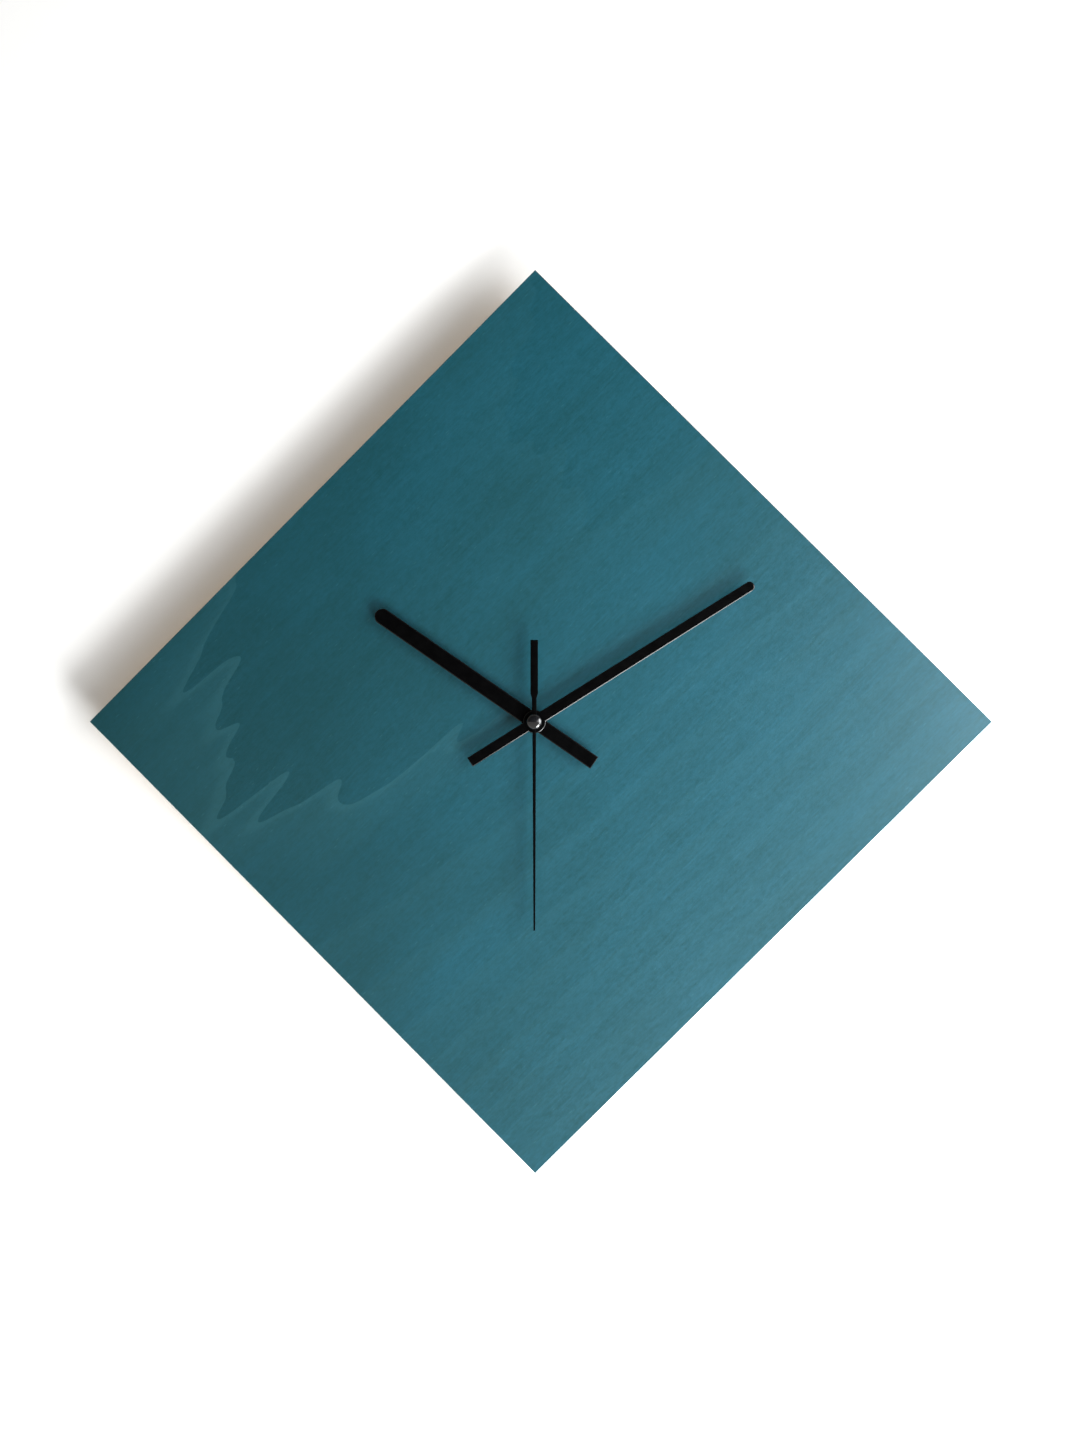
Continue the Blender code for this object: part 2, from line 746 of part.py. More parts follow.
def make_fastening(rubber, brass, steel):
    add_object(
        "rubber_washer",
        plate(
            circle(RUBBER_RADIUS), rubber_level, rubber_level + RUBBER_THICKNESS, [circle(bushing_hole)]
        ),
        rubber,
    )
    add_object(
        "threaded_bushing",
        stacked(
            [
                (circle(FLANGE_RADIUS), flange_level, flange_level + FLANGE_THICKNESS),
                (circle(bushing_radius), flange_level + FLANGE_THICKNESS, bushing_end),
            ],
            [circle(bushing_bore)],
        ),
        brass,
    )
    add_object(
        "flat_washer",
        plate(
            circle(WASHER_RADIUS), washer_level, washer_level + WASHER_THICKNESS, [circle(bushing_hole)]
        ),
        steel,
    )
    corner = NUT_HALF_WIDTH / math.cos(math.pi / 6)
    add_object(
        "hex_nut",
        plate(circle(corner, 6), nut_level, nut_level + NUT_THICKNESS, [circle(bushing_hole)]),
        brass,
    )


# ---------------------------------------------------------------- battery and electrics


def make_battery(jacket, spring_steel):
    body_end = BATTERY_LENGTH - BATTERY_NUB_LENGTH
    profile = [
        (0.0, 0.0),
        (battery_radius - BATTERY_EDGE, 0.0),
        (battery_radius, BATTERY_EDGE),
        (battery_radius, body_end - BATTERY_EDGE),
        (battery_radius - BATTERY_EDGE, body_end),
        (BATTERY_NUB_RADIUS, body_end),
        (BATTERY_NUB_RADIUS, BATTERY_LENGTH),
        (0.0, BATTERY_LENGTH),
    ]
    battery = add_object("battery_cell", turned(profile), jacket)
    battery.rotation_euler = (0.0, 0.0, math.pi / 2)
    battery.location = (battery_negative_x, -battery_depth, battery_z)

    low_end = -(inner_half - BATTERY_SIDE_ROOM)
    spring_tip = battery_negative_x - GAP - CONTACT_THICKNESS / 2
    spring_path = [
        (-contact_line, low_end),
        (-contact_line, battery_z - SPRING_HALF_HEIGHT),
        (spring_tip, battery_z),
        (-contact_line, battery_z + SPRING_HALF_HEIGHT),
        (-contact_line, board_top),
    ]
    add_object(
        "negative_contact",
        plate(strip_outline(spring_path, CONTACT_THICKNESS), BOARD_LEVEL, contact_front),
        spring_steel,
    )
    strip_path = [
        (contact_line, low_end),
        (contact_line, contact_line),
        ((board_left + BOARD_RIGHT) / 2, contact_line),
    ]
    add_object(
        "positive_contact",
        plate(strip_outline(strip_path, CONTACT_THICKNESS), BOARD_LEVEL, contact_front),
        spring_steel,
    )


def make_circuit(board_green, epoxy, can_metal):
    add_object(
        "circuit_board",
        plate(rectangle(board_left, board_bottom, BOARD_RIGHT, board_top), BOARD_LEVEL, board_front),
        board_green,
    )
    chip_x = (board_left + BOARD_RIGHT) / 2
    board_middle = (board_bottom + board_top) / 2
    base = board_front + GAP
    blob = [(0.0, base), (CHIP_RADIUS, base)] + dome(CHIP_RADIUS, base, CHIP_HEIGHT, CHIP_DOME_STEPS)
    add_object("timing_chip", turned(blob, MEDIUM_SIDES), epoxy, (chip_x, board_middle))
    can = plate(circle(CRYSTAL_RADIUS, MEDIUM_SIDES), 0.0, CRYSTAL_LENGTH)
    crystal = add_object("quartz_crystal", can, can_metal)
    crystal.rotation_euler = (0.0, 0.0, math.pi / 2)
    crystal.location = (
        chip_x + CHIP_RADIUS + CRYSTAL_RADIUS,
        -(base + CRYSTAL_RADIUS),
        board_middle - CRYSTAL_RADIUS,
    )


def make_motor(iron, bobbin_plastic, copper):
    """Fixed half of the stepping motor: stator plate, core, bobbin and winding."""
    left = rotor_axis[0] - stator_half_width
    right = rotor_axis[0] + stator_half_width
    far = coil_x + CORE_HALF_WIDTH
    low = rotor_axis[1] - STATOR_HALF_LENGTH
    high = rotor_axis[1] + STATOR_HALF_LENGTH
    outline = [
        (left, low),
        (far, low),
        (far, low + STATOR_TAB),
        (right, low + STATOR_TAB),
        (right, high - STATOR_TAB),
        (far, high - STATOR_TAB),
        (far, high),
        (left, high),
    ]
    pole_radius = MAGNET_RADIUS + STATOR_AIR_GAP
    notch_radius = pole_radius + STATOR_NOTCH
    notch_outline = [
        (-1, pole_radius),
        (-STATOR_NOTCH_FLOOR, notch_radius),
        (STATOR_NOTCH_FLOOR, notch_radius),
        (1, pole_radius),
    ]
    pole_hole = []
    for notch in (math.pi / 4, 5 * math.pi / 4):
        for side, radius in notch_outline:
            pole_hole.append(polar(rotor_axis, radius, notch + side * STATOR_NOTCH_HALF_ANGLE))
        start = notch + STATOR_NOTCH_HALF_ANGLE
        end = notch + math.pi - STATOR_NOTCH_HALF_ANGLE
        pole_hole += arc(rotor_axis, pole_radius, start, end, POLE_STEPS)[1:-1]
    stator_level = seconds_level + WHEEL_THICKNESS + GAP
    stator_front = stator_level + STATOR_THICKNESS
    add_object("stator_plate", plate(outline, stator_level, stator_front, [pole_hole]), iron)

    core_level = stator_front + GAP
    core = rectangle(coil_x - CORE_HALF_WIDTH, low, coil_x + CORE_HALF_WIDTH, high)
    add_object("coil_core", plate(core, core_level, core_level + CORE_THICKNESS), iron)

    bore = math.hypot(CORE_HALF_WIDTH, CORE_THICKNESS / 2) + GAP
    hub = bore + BOBBIN_WALL
    length = 2 * (STATOR_HALF_LENGTH - STATOR_TAB - GAP)
    inner_end = length - BOBBIN_FLANGE
    spool = [
        (bore, 0.0),
        (BOBBIN_FLANGE_RADIUS, 0.0),
        (BOBBIN_FLANGE_RADIUS, BOBBIN_FLANGE),
        (hub, BOBBIN_FLANGE),
        (hub, inner_end),
        (BOBBIN_FLANGE_RADIUS, inner_end),
        (BOBBIN_FLANGE_RADIUS, length),
        (bore, length),
    ]
    coil_depth = core_level + CORE_THICKNESS / 2
    winding = plate(
        circle(hub + GAP + WINDING_DEPTH, COIL_SIDES),
        BOBBIN_FLANGE + GAP,
        inner_end - GAP,
        [circle(hub + GAP, COIL_SIDES)],
    )
    for name, bm, finish in (
        ("coil_bobbin", turned(spool, COIL_SIDES), bobbin_plastic),
        ("copper_winding", winding, copper),
    ):
        made = add_object(name, bm, finish)
        made.rotation_euler = (-math.pi / 2, 0.0, 0.0)
        made.location = (coil_x, -coil_depth, low + STATOR_TAB + GAP)
    return stator_level


# ---------------------------------------------------------------- turning pieces


def make_train(white, steel, magnet_grey, stator_level):
    bridge_end = bridge_level + PIVOT_LENGTH - GAP
    seconds_tooth = 0.0
    cannon_tooth = 0.0

    rotor = add_axis("rotor_axis", rotor_axis)
    intermediate = add_axis("intermediate_axis", intermediate_axis)
    third = add_axis("third_axis", third_axis)
    minute_arbor = add_axis("minute_wheel_axis", minute_wheel_axis)
    setting = add_axis("setting_axis", setting_axis)
    seconds = add_axis("seconds_axis", CENTRE)
    minutes = add_axis("minutes_axis", CENTRE)
    hours = add_axis("hours_axis", CENTRE)

    intermediate_pinion_tooth = meshing_tooth(
        seconds_tooth, SECONDS_TEETH, PINION_TEETH, INTERMEDIATE_DIRECTION
    )
    add_object(
        "intermediate_wheel",
        geared_arbor(
            gear_outline(INTERMEDIATE_TEETH, ROTOR_MODULE),
            rotor_level,
            gear_outline(PINION_TEETH, seconds_module, intermediate_pinion_tooth),
            seconds_level,
            bridge_end,
        ),
        white,
        parent=intermediate,
    )

    rotor_tooth = meshing_tooth(0.0, INTERMEDIATE_TEETH, PINION_TEETH, ROTOR_DIRECTION)
    start = BLIND_FLOOR + GAP
    shoulder = bridge_end - PIVOT_LENGTH
    pivot = circle(PIVOT_RADIUS, SMALL_SIDES)
    add_object(
        "rotor_pinion",
        stacked(
            [
                (pivot, start, start + PIVOT_LENGTH),
                (circle(ARBOR_RADIUS, SMALL_SIDES), start + PIVOT_LENGTH, rotor_level),
                (
                    gear_outline(PINION_TEETH, ROTOR_MODULE, rotor_tooth),
                    rotor_level,
                    rotor_level + WHEEL_THICKNESS,
                ),
                (circle(ROTOR_HUB_RADIUS, SMALL_SIDES), rotor_level + WHEEL_THICKNESS, shoulder),
                (pivot, shoulder, bridge_end),
            ]
        ),
        white,
        parent=rotor,
    )
    magnet_level = stator_level + STATOR_THICKNESS / 2 - MAGNET_THICKNESS / 2
    add_object(
        "rotor_magnet",
        plate(
            circle(MAGNET_RADIUS),
            magnet_level,
            magnet_level + MAGNET_THICKNESS,
            [circle(ROTOR_HUB_RADIUS + GAP, SMALL_SIDES)],
        ),
        magnet_grey,
        parent=rotor,
    )

    add_object(
        "seconds_wheel",
        stacked(
            [
                (
                    gear_outline(SECONDS_TEETH, seconds_module, seconds_tooth),
                    seconds_level,
                    seconds_level + WHEEL_THICKNESS,
                ),
                (
                    circle(ARBOR_RADIUS + 2 * PRESS_GAP, SMALL_SIDES),
                    seconds_level + WHEEL_THICKNESS,
                    third_level,
                ),
                (
                    gear_outline(PINION_TEETH, third_module, seconds_tooth),
                    third_level,
                    third_level + WHEEL_THICKNESS,
                ),
            ],
            [circle(ARBOR_RADIUS + PRESS_GAP, SMALL_SIDES)],
        ),
        white,
        parent=seconds,
    )
    add_object(
        "seconds_arbor",
        stacked(
            [
                (pivot, start, start + PIVOT_LENGTH),
                (circle(ARBOR_RADIUS, SMALL_SIDES), start + PIVOT_LENGTH, cap_level),
            ]
        ),
        steel,
        parent=seconds,
    )

    third_tooth = meshing_tooth(seconds_tooth, PINION_TEETH, THIRD_TEETH, THIRD_DIRECTION)
    add_object(
        "third_wheel",
        geared_arbor(
            gear_outline(THIRD_TEETH, third_module, third_tooth),
            third_level,
            gear_outline(PINION_TEETH, centre_module),
            centre_level,
            bridge_end,
        ),
        white,
        parent=third,
    )

    back = THIRD_DIRECTION + math.pi
    add_object(
        "centre_wheel",
        plate(
            gear_outline(
                CENTRE_TEETH, centre_module, meshing_tooth(0.0, PINION_TEETH, CENTRE_TEETH, back)
            ),
            centre_level,
            centre_level + WHEEL_THICKNESS,
            [circle(CANNON_RADIUS + PRESS_GAP)],
        ),
        white,
        parent=minutes,
    )
    tube = circle(CANNON_RADIUS)
    cannon_front = minute_level + WHEEL_THICKNESS
    add_object(
        "cannon_pinion",
        stacked(
            [
                (tube, centre_level - GAP, minute_level),
                (
                    gear_outline(CANNON_TEETH, motion_module, cannon_tooth),
                    minute_level,
                    cannon_front,
                ),
                (tube, cannon_front, minute_tube_end),
            ],
            [circle(seconds_bore, SMALL_SIDES)],
        ),
        steel,
        parent=minutes,
    )

    minute_tooth = meshing_tooth(cannon_tooth, CANNON_TEETH, MINUTE_TEETH, MINUTE_WHEEL_DIRECTION)
    add_object(
        "minute_wheel",
        geared_arbor(
            gear_outline(MINUTE_TEETH, motion_module, minute_tooth),
            minute_level,
            gear_outline(PINION_TEETH, motion_module),
            hour_level,
            cover_level + COVER_THICKNESS / 2,
            bridge_level + GAP,
        ),
        white,
        parent=minute_arbor,
    )
    back = MINUTE_WHEEL_DIRECTION + math.pi
    hour_tooth = meshing_tooth(0.0, PINION_TEETH, HOUR_TEETH, back)
    add_object(
        "hour_wheel",
        stacked(
            [
                (
                    gear_outline(HOUR_TEETH, motion_module, hour_tooth),
                    hour_level,
                    hour_level + WHEEL_THICKNESS,
                ),
                (circle(hour_radius), hour_level + WHEEL_THICKNESS, hour_tube_end),
            ],
            [circle(hour_bore)],
        ),
        white,
        parent=hours,
    )

    setting_tooth = meshing_tooth(minute_tooth, MINUTE_TEETH, SETTING_TEETH, setting_direction)
    knob_front = KNOB_SINK + KNOB_THICKNESS
    ribbed = []
    for step in range(2 * KNOB_RIBS):
        radius = KNOB_RADIUS - KNOB_NOTCH * (step % 2)
        ribbed.append(polar(CENTRE, radius, math.pi * step / KNOB_RIBS))
    add_object(
        "setting_knob",
        stacked(
            [
                (ribbed, KNOB_SINK, knob_front),
                (circle(KNOB_SHAFT_RADIUS, MEDIUM_SIDES), knob_front, minute_level),
                (
                    gear_outline(SETTING_TEETH, motion_module, setting_tooth),
                    minute_level,
                    minute_level + WHEEL_THICKNESS,
                ),
            ]
        ),
        white,
        parent=setting,
    )
    return hours, minutes, seconds


def make_hands(black, brass, gloss, hours, minutes, seconds):
    hour = hand_outline(HOUR_LENGTH, HOUR_TAIL, HOUR_WIDTH, HOUR_WIDTH, HOUR_TAIL_WIDTH,
                        HOUR_DISC_RADIUS)
    add_object(
        "hour_hand",
        plate(
            turned_by(hour, HOUR_ANGLE),
            hour_hand_level,
            hour_hand_level + HAND_THICKNESS,
            [circle(hour_radius + PRESS_GAP)],
        ),
        black,
        parent=hours,
    )
    minute = hand_outline(MINUTE_LENGTH, MINUTE_TAIL, MINUTE_WIDTH, MINUTE_TIP_WIDTH,
                          MINUTE_TAIL_WIDTH, MINUTE_DISC_RADIUS)
    add_object(
        "minute_hand",
        plate(
            turned_by(minute, MINUTE_ANGLE),
            minute_hand_level,
            minute_hand_level + HAND_THICKNESS,
            [circle(CANNON_RADIUS + PRESS_GAP)],
        ),
        black,
        parent=minutes,
    )
    add_object(
        "second_hand",
        plate(
            turned_by(second_hand_outline(), SECOND_ANGLE),
            second_hand_level,
            second_hand_level + SECOND_THICKNESS,
            [circle(collet_neck_radius + PRESS_GAP, SMALL_SIDES)],
        ),
        black,
        parent=seconds,
    )
    add_object(
        "second_hand_collet",
        stacked(
            [
                (circle(CANNON_RADIUS + GAP), collet_level, collet_shoulder),
                (circle(collet_neck_radius, SMALL_SIDES), collet_shoulder, collet_end),
            ],
            [circle(collet_bore, SMALL_SIDES)],
        ),
        brass,
        parent=seconds,
    )
    dome_base = cap_level + CAP_RIM
    socket = collet_neck_radius + PRESS_GAP
    profile = [(0.0, collet_end + GAP), (socket, collet_end + GAP), (socket, cap_level)]
    profile += [(CAP_RADIUS, cap_level), (CAP_RADIUS, dome_base)]
    profile += dome(CAP_RADIUS, dome_base, CAP_DOME, DOME_STEPS)
    add_object("second_hand_cap", turned(profile), gloss, parent=seconds)


def main():
    for existing in list(bpy.data.objects):
        bpy.data.objects.remove(existing, do_unlink=True)

    teal = material("stained_plywood", (0.027, 0.125, 0.156), 0.35)
    black_metal = material("black_hand_paint", (0.004, 0.004, 0.005), 0.4)
    black_gloss = material("black_gloss_paint", (0.006, 0.006, 0.007), 0.12)
    case_black = material("case_plastic", (0.016, 0.016, 0.018), 0.55)
    bridge_grey = material("bridge_plastic", (0.55, 0.55, 0.52), 0.5)
    gear_white = material("gear_plastic", (0.78, 0.76, 0.70), 0.45)
    brass = material("brass", (0.72, 0.50, 0.22), 0.3, 1.0)
    steel = material("steel", (0.60, 0.60, 0.62), 0.28, 1.0)
    rubber = material("rubber", (0.02, 0.02, 0.02), 0.8)
    jacket = material("battery_jacket", (0.10, 0.11, 0.12), 0.35, 0.4)
    spring_steel = material("nickel_strip", (0.66, 0.64, 0.60), 0.25, 1.0)
    board = material("board_green", (0.03, 0.16, 0.06), 0.4)
    epoxy = material("chip_epoxy", (0.008, 0.008, 0.008), 0.3)
    iron = material("soft_iron", (0.46, 0.46, 0.48), 0.35, 1.0)
    copper = material("copper_wire", (0.72, 0.28, 0.12), 0.3, 1.0)
    magnet = material("rotor_magnet_grey", (0.12, 0.12, 0.13), 0.4, 0.6)

    make_panel(teal)
    make_case(case_black)
    make_cover_and_bridge(case_black, bridge_grey)
    make_fastening(rubber, brass, steel)
    make_battery(jacket, spring_steel)
    make_circuit(board, epoxy, steel)
    stator_level = make_motor(iron, gear_white, copper)
    hours, minutes, seconds = make_train(gear_white, steel, magnet, stator_level)
    make_hands(black_metal, brass, black_gloss, hours, minutes, seconds)


main()
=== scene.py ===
# %% [markdown]
# # A square wooden wall clock
# The clock is a thin plywood square hung on one corner, with three black metal hands on a battery
# movement. The working model gives every piece its size, its place and its motion. This lesson
# gives each piece the surface, the rounded edges and the light that make it look real.

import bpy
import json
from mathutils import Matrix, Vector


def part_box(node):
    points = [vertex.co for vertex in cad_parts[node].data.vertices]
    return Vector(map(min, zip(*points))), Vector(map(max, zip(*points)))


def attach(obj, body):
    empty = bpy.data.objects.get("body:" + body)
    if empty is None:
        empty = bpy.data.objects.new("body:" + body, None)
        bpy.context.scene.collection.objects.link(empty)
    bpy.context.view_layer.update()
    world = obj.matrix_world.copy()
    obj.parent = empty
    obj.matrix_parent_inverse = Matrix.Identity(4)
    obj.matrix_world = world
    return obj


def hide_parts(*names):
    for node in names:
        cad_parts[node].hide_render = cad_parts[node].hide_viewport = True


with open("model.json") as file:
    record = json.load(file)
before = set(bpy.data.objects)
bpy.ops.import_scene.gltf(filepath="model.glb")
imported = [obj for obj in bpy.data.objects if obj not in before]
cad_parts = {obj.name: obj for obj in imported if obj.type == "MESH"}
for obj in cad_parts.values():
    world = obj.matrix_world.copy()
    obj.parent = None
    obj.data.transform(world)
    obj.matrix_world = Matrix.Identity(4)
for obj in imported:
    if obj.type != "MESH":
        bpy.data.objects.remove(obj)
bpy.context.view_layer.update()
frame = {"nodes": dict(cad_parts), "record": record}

# %% Tools and units
import json
import math

import bmesh
import bpy
from mathutils import Vector

mm = 0.001
hair = 0.01 * mm
axis = Vector((0.0, 0.0))

# %% [markdown]
# ## Reading sizes from the working model
# A box tells how far a node lies from the wall and how large it is. A hand points in some
# direction, so its length and its angle are read from its farthest point instead.


# %% How deep a node lies, and where a hand points
def faces(node):
    """The y of a node's face towards the wall, and of its face towards the room."""
    low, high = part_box(node)
    return high.y, low.y


def centre_of(node):
    low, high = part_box(node)
    return (low + high) / 2


def hand_reach(node):
    """How far a hand reaches from its arbor, and its angle clockwise from twelve."""
    flat = [Vector((v.co.x, v.co.z)) for v in frame["nodes"][node].data.vertices]
    longest = max(point.length for point in flat)
    ends = [point for point in flat if point.length > longest - hair]
    tip = sum(ends, Vector((0.0, 0.0))) / len(ends)
    return tip.length, math.atan2(tip.x, tip.y)


for name in ("hour_hand", "minute_hand", "second_hand"):
    reach, angle = hand_reach(name)
    print(name, "reaches", round(reach / mm, 1), "mm at",
          round(math.degrees(angle) % 360, 1), "degrees")

# %% [markdown]
# ## Outlines
# Almost everything here is cut from flat stock or moulded as a flat box, so most pieces start as an
# outline: a list of (x, z) points that runs anticlockwise as the clock is read. Drawing outlines by
# rule, with arcs where the real piece is round, keeps the edges clean at any size.


# %% Arcs, circles and rounded corners
def along(direction):
    return Vector((math.cos(direction), math.sin(direction)))


def arc(centre, radius, start, end, steps):
    return [centre + radius * along(start + (end - start) * step / steps)
            for step in range(steps + 1)]


def circle(radius, sides=96, centre=axis):
    return [centre + radius * along(2 * math.pi * step / sides) for step in range(sides)]


def rounded(corners, radius, steps=6):
    """The outline with each corner replaced by an arc."""
    points = []
    for index, corner in enumerate(corners):
        before = (corners[index - 1] - corner).normalized()
        after = (corners[(index + 1) % len(corners)] - corner).normalized()
        half = before.angle(after) / 2
        centre = corner + (before + after).normalized() * radius / math.sin(half)
        start = corner + before * radius / math.tan(half) - centre
        end = corner + after * radius / math.tan(half) - centre
        turn = start.angle_signed(end)
        first = math.atan2(start.y, start.x)
        points += arc(centre, radius, first, first - turn, steps)
    return points


def box_outline(left, bottom, right, top):
    return [Vector(p) for p in ((left, bottom), (right, bottom), (right, top), (left, top))]


def turned_by(outline, angle):
    """The outline turned clockwise, the way a hand turns."""
    cos, sin = math.cos(angle), math.sin(angle)
    return [Vector((p.x * cos + p.y * sin, p.y * cos - p.x * sin)) for p in outline]


def inset(outline, distance):
    """The outline moved inwards by a distance, with its corners kept."""
    moved = []
    for index, point in enumerate(outline):
        into = (point - outline[index - 1]).normalized()
        out = (outline[(index + 1) % len(outline)] - point).normalized()
        inward = Vector((-into.y - out.y, into.x + out.x))
        moved.append(point + inward * distance / (1 + into.dot(out)))
    return moved


print("a square with rounded corners has", len(rounded(box_outline(0, 0, 1, 1), 0.1)), "points")

# %% [markdown]
# ## Plates, turned pieces and rounded edges
# A plate is a stack of loops, skinned one to the next. When the loops near a face are drawn in a
# little, the plate gets a chamfer or a rounded arris, which is what catches the light on a real
# edge. A turned piece spins a profile about an axis. Both are made as closed meshes. A weighted
# normal modifier then keeps the flats flat, while the narrow strips round them blend smoothly.


# %% Plates and turned pieces
def skin(bm, low, high):
    for index in range(len(low)):
        bm.faces.new((low[index - 1], low[index], high[index], high[index - 1]))


def close(bm, loops):
    edges = [bm.edges.get((loop[i - 1], loop[i])) for loop in loops for i in range(len(loop))]
    bmesh.ops.triangle_fill(bm, use_beauty=True, use_dissolve=False, edges=edges, normal=(0, -1, 0))


def plate(outline, levels, holes=()):
    """Closed plate; `levels` are (drawn in by, y), from the wall outwards, and holes go through."""
    bm = bmesh.new()
    loops = [[bm.verts.new((p.x, y, p.y)) for p in inset(outline, by)] for by, y in levels]
    rear, front = [loops[0]], [loops[-1]]
    for hole in holes:
        rear.append([bm.verts.new((p.x, levels[0][1], p.y)) for p in hole])
        front.append([bm.verts.new((p.x, levels[-1][1], p.y)) for p in hole])
        skin(bm, rear[-1], front[-1])
    for low, high in zip(loops, loops[1:]):
        skin(bm, low, high)
    close(bm, rear)
    close(bm, front)
    return bm


def turned(profile, start, direction, sides=64):
    """Solid spun about a line: `profile` holds (radius, distance along the line)."""
    bm = bmesh.new()
    line = Vector(direction).normalized()
    side = line.orthogonal().normalized()
    verts = [bm.verts.new(Vector(start) + side * radius + line * far) for radius, far in profile]
    edges = [bm.edges.new(pair) for pair in zip(verts, verts[1:])]
    if profile[0][0] > 0:
        edges.append(bm.edges.new((verts[-1], verts[0])))
    bmesh.ops.spin(bm, geom=verts + edges, cent=start, axis=line, angle=2 * math.pi, steps=sides,
                   use_merge=True)
    bmesh.ops.remove_doubles(bm, verts=bm.verts, dist=0.001 * mm)
    return bm


def rolled(radius, rear, front, steps=4):
    """Levels for a plate whose edge is rounded at the rear and at the front."""
    angles = [math.pi / 2 * step / steps for step in range(steps + 1)]
    levels = [(radius * (1 - math.sin(a)), rear - radius * (1 - math.cos(a))) for a in angles]
    levels += [(radius * (1 - math.cos(a)), front + radius * (1 - math.sin(a))) for a in angles]
    return levels


print("a rolled edge takes", len(rolled(1.0, 0.0, -4.0)), "loops")


# %% Finishing a piece: its mesh, finishes, node and body
def placed(name, data):
    """An object in the scene that shows a mesh, a lamp or a camera."""
    held = bpy.data.objects.new(name, data)
    bpy.context.scene.collection.objects.link(held)
    return held


def finished(name, bm, finish_names, stands_for=None, body="clock_body", sharp=40, choose=None):
    """Make a piece of a mesh, with its finishes, riding on a body and standing for a node."""
    bmesh.ops.dissolve_degenerate(bm, dist=0.001 * mm, edges=bm.edges)
    bmesh.ops.recalc_face_normals(bm, faces=bm.faces)
    if bm.calc_volume(signed=True) < 0:
        bmesh.ops.reverse_faces(bm, faces=bm.faces)
    if choose:
        for face in bm.faces:
            face.material_index = choose(face)
    mesh = bpy.data.meshes.new(name)
    bm.to_mesh(mesh)
    bm.free()
    mesh.shade_smooth()
    mesh.set_sharp_from_angle(angle=math.radians(sharp))
    for finish_name in finish_names:
        mesh.materials.append(finishes[finish_name])
    piece = placed(name, mesh)
    piece.modifiers.new("even flats", "WEIGHTED_NORMAL").keep_sharp = True
    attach(piece, body)
    if stands_for:
        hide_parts(stands_for)
    print(name, "has", len(mesh.polygons), "faces and rides on", body)


# %% [markdown]
# ## Finishes
# Every finish is a small network of procedural nodes on one shader. All of them read the object's
# own coordinates, in metres, so a scale of 1000 means features of about a millimetre, and the
# finish stays put on the piece from any side. A few helpers keep the networks short: they start a
# finish, add a node, a stretched noise, a sum or a mix, and join the result to the shader.

# %% Starting a finish and reading a place on the piece
finishes = {}
unturned = (0.0, 0.0, 0.0)
even = (1.0, 1.0, 1.0)


def new_finish(name, roughness, colour, metal=0.0, **constants):
    """A finish's node tree and shader, with the values that are the same all over."""
    made = finishes[name] = bpy.data.materials.new(name)
    made.use_nodes = True
    made.diffuse_color = (*colour, 1.0)
    shader = made.node_tree.nodes["Principled BSDF"]
    constants.update(Base_Color=(*colour, 1.0), Roughness=roughness, Metallic=metal)
    for socket, value in constants.items():
        shader.inputs[socket.replace("_", " ")].default_value = value
    return made.node_tree, shader


def add(tree, kind, links=(), **settings):
    """A node, its settings, and links given as (input name or number, socket)."""
    node = tree.nodes.new(kind)
    for key, value in settings.items():
        if key in node.inputs:
            node.inputs[key].default_value = value
        else:
            setattr(node, key, value)
    for place, socket in links:
        tree.links.new(socket, node.inputs[place])
    return node


def place_on(tree, turn=unturned, stretch=even):
    """The object's coordinates, turned and then stretched."""
    where = add(tree, "ShaderNodeTexCoord").outputs["Object"]
    turned_place = add(tree, "ShaderNodeMapping", [("Vector", where)], Rotation=turn).outputs[0]
    return add(tree, "ShaderNodeMapping", [("Vector", turned_place)], Scale=stretch).outputs[0]


def coordinates(tree, turn=unturned):
    """The object's x, y and z, after a turn."""
    return add(tree, "ShaderNodeSeparateXYZ", [(0, place_on(tree, turn))]).outputs


def grain_noise(tree, scale, stretch=even, turn=unturned, detail=3.0, roughness=0.5):
    """Noise with `scale` features to the metre, closer together along a stretched direction."""
    where = place_on(tree, turn, stretch)
    return add(tree, "ShaderNodeTexNoise", [("Vector", where)], Scale=scale, Detail=detail,
               Roughness=roughness).outputs["Fac"]


print("every finish starts on one shader")


# %% Sums, ranges, mixes, and dressing the shader
def set_input(place, value):
    """Link a socket to a node's input, or set the input to a plain value."""
    if isinstance(value, bpy.types.NodeSocket):
        place.id_data.links.new(value, place)
    else:
        place.default_value = (*value, 1.0) if isinstance(value, tuple) else value


def sums(operation, first, second=0.0, third=0.0):
    """A maths node in the first socket's tree, on sockets or plain numbers."""
    node = add(first.id_data, "ShaderNodeMath", operation=operation)
    for place, value in zip(node.inputs, (first, second, third)):
        set_input(place, value)
    return node.outputs[0]


def sway(noise, amount, base):
    """The base value, moved up and down by a noise about its middle."""
    return sums("MULTIPLY_ADD", sums("SUBTRACT", noise, 0.5), amount, base)


def fit(value, low, high, to_low=0.0, to_high=1.0, soft=False):
    """The value's range mapped to another one."""
    node = add(value.id_data, "ShaderNodeMapRange", [(0, value)],
               interpolation_type="SMOOTHSTEP" if soft else "LINEAR")
    for index, number in enumerate((low, high, to_low, to_high), start=1):
        node.inputs[index].default_value = number
    return node.outputs[0]


def blend_colour(share, first, second):
    """Two colours mixed by a share; colours are sockets or (r, g, b)."""
    node = add(share.id_data, "ShaderNodeMix", data_type="RGBA")
    share_input, first_input, second_input, mixed_output = 0, 6, 7, 2
    for index, value in ((share_input, share), (first_input, first), (second_input, second)):
        set_input(node.inputs[index], value)
    return node.outputs[mixed_output]


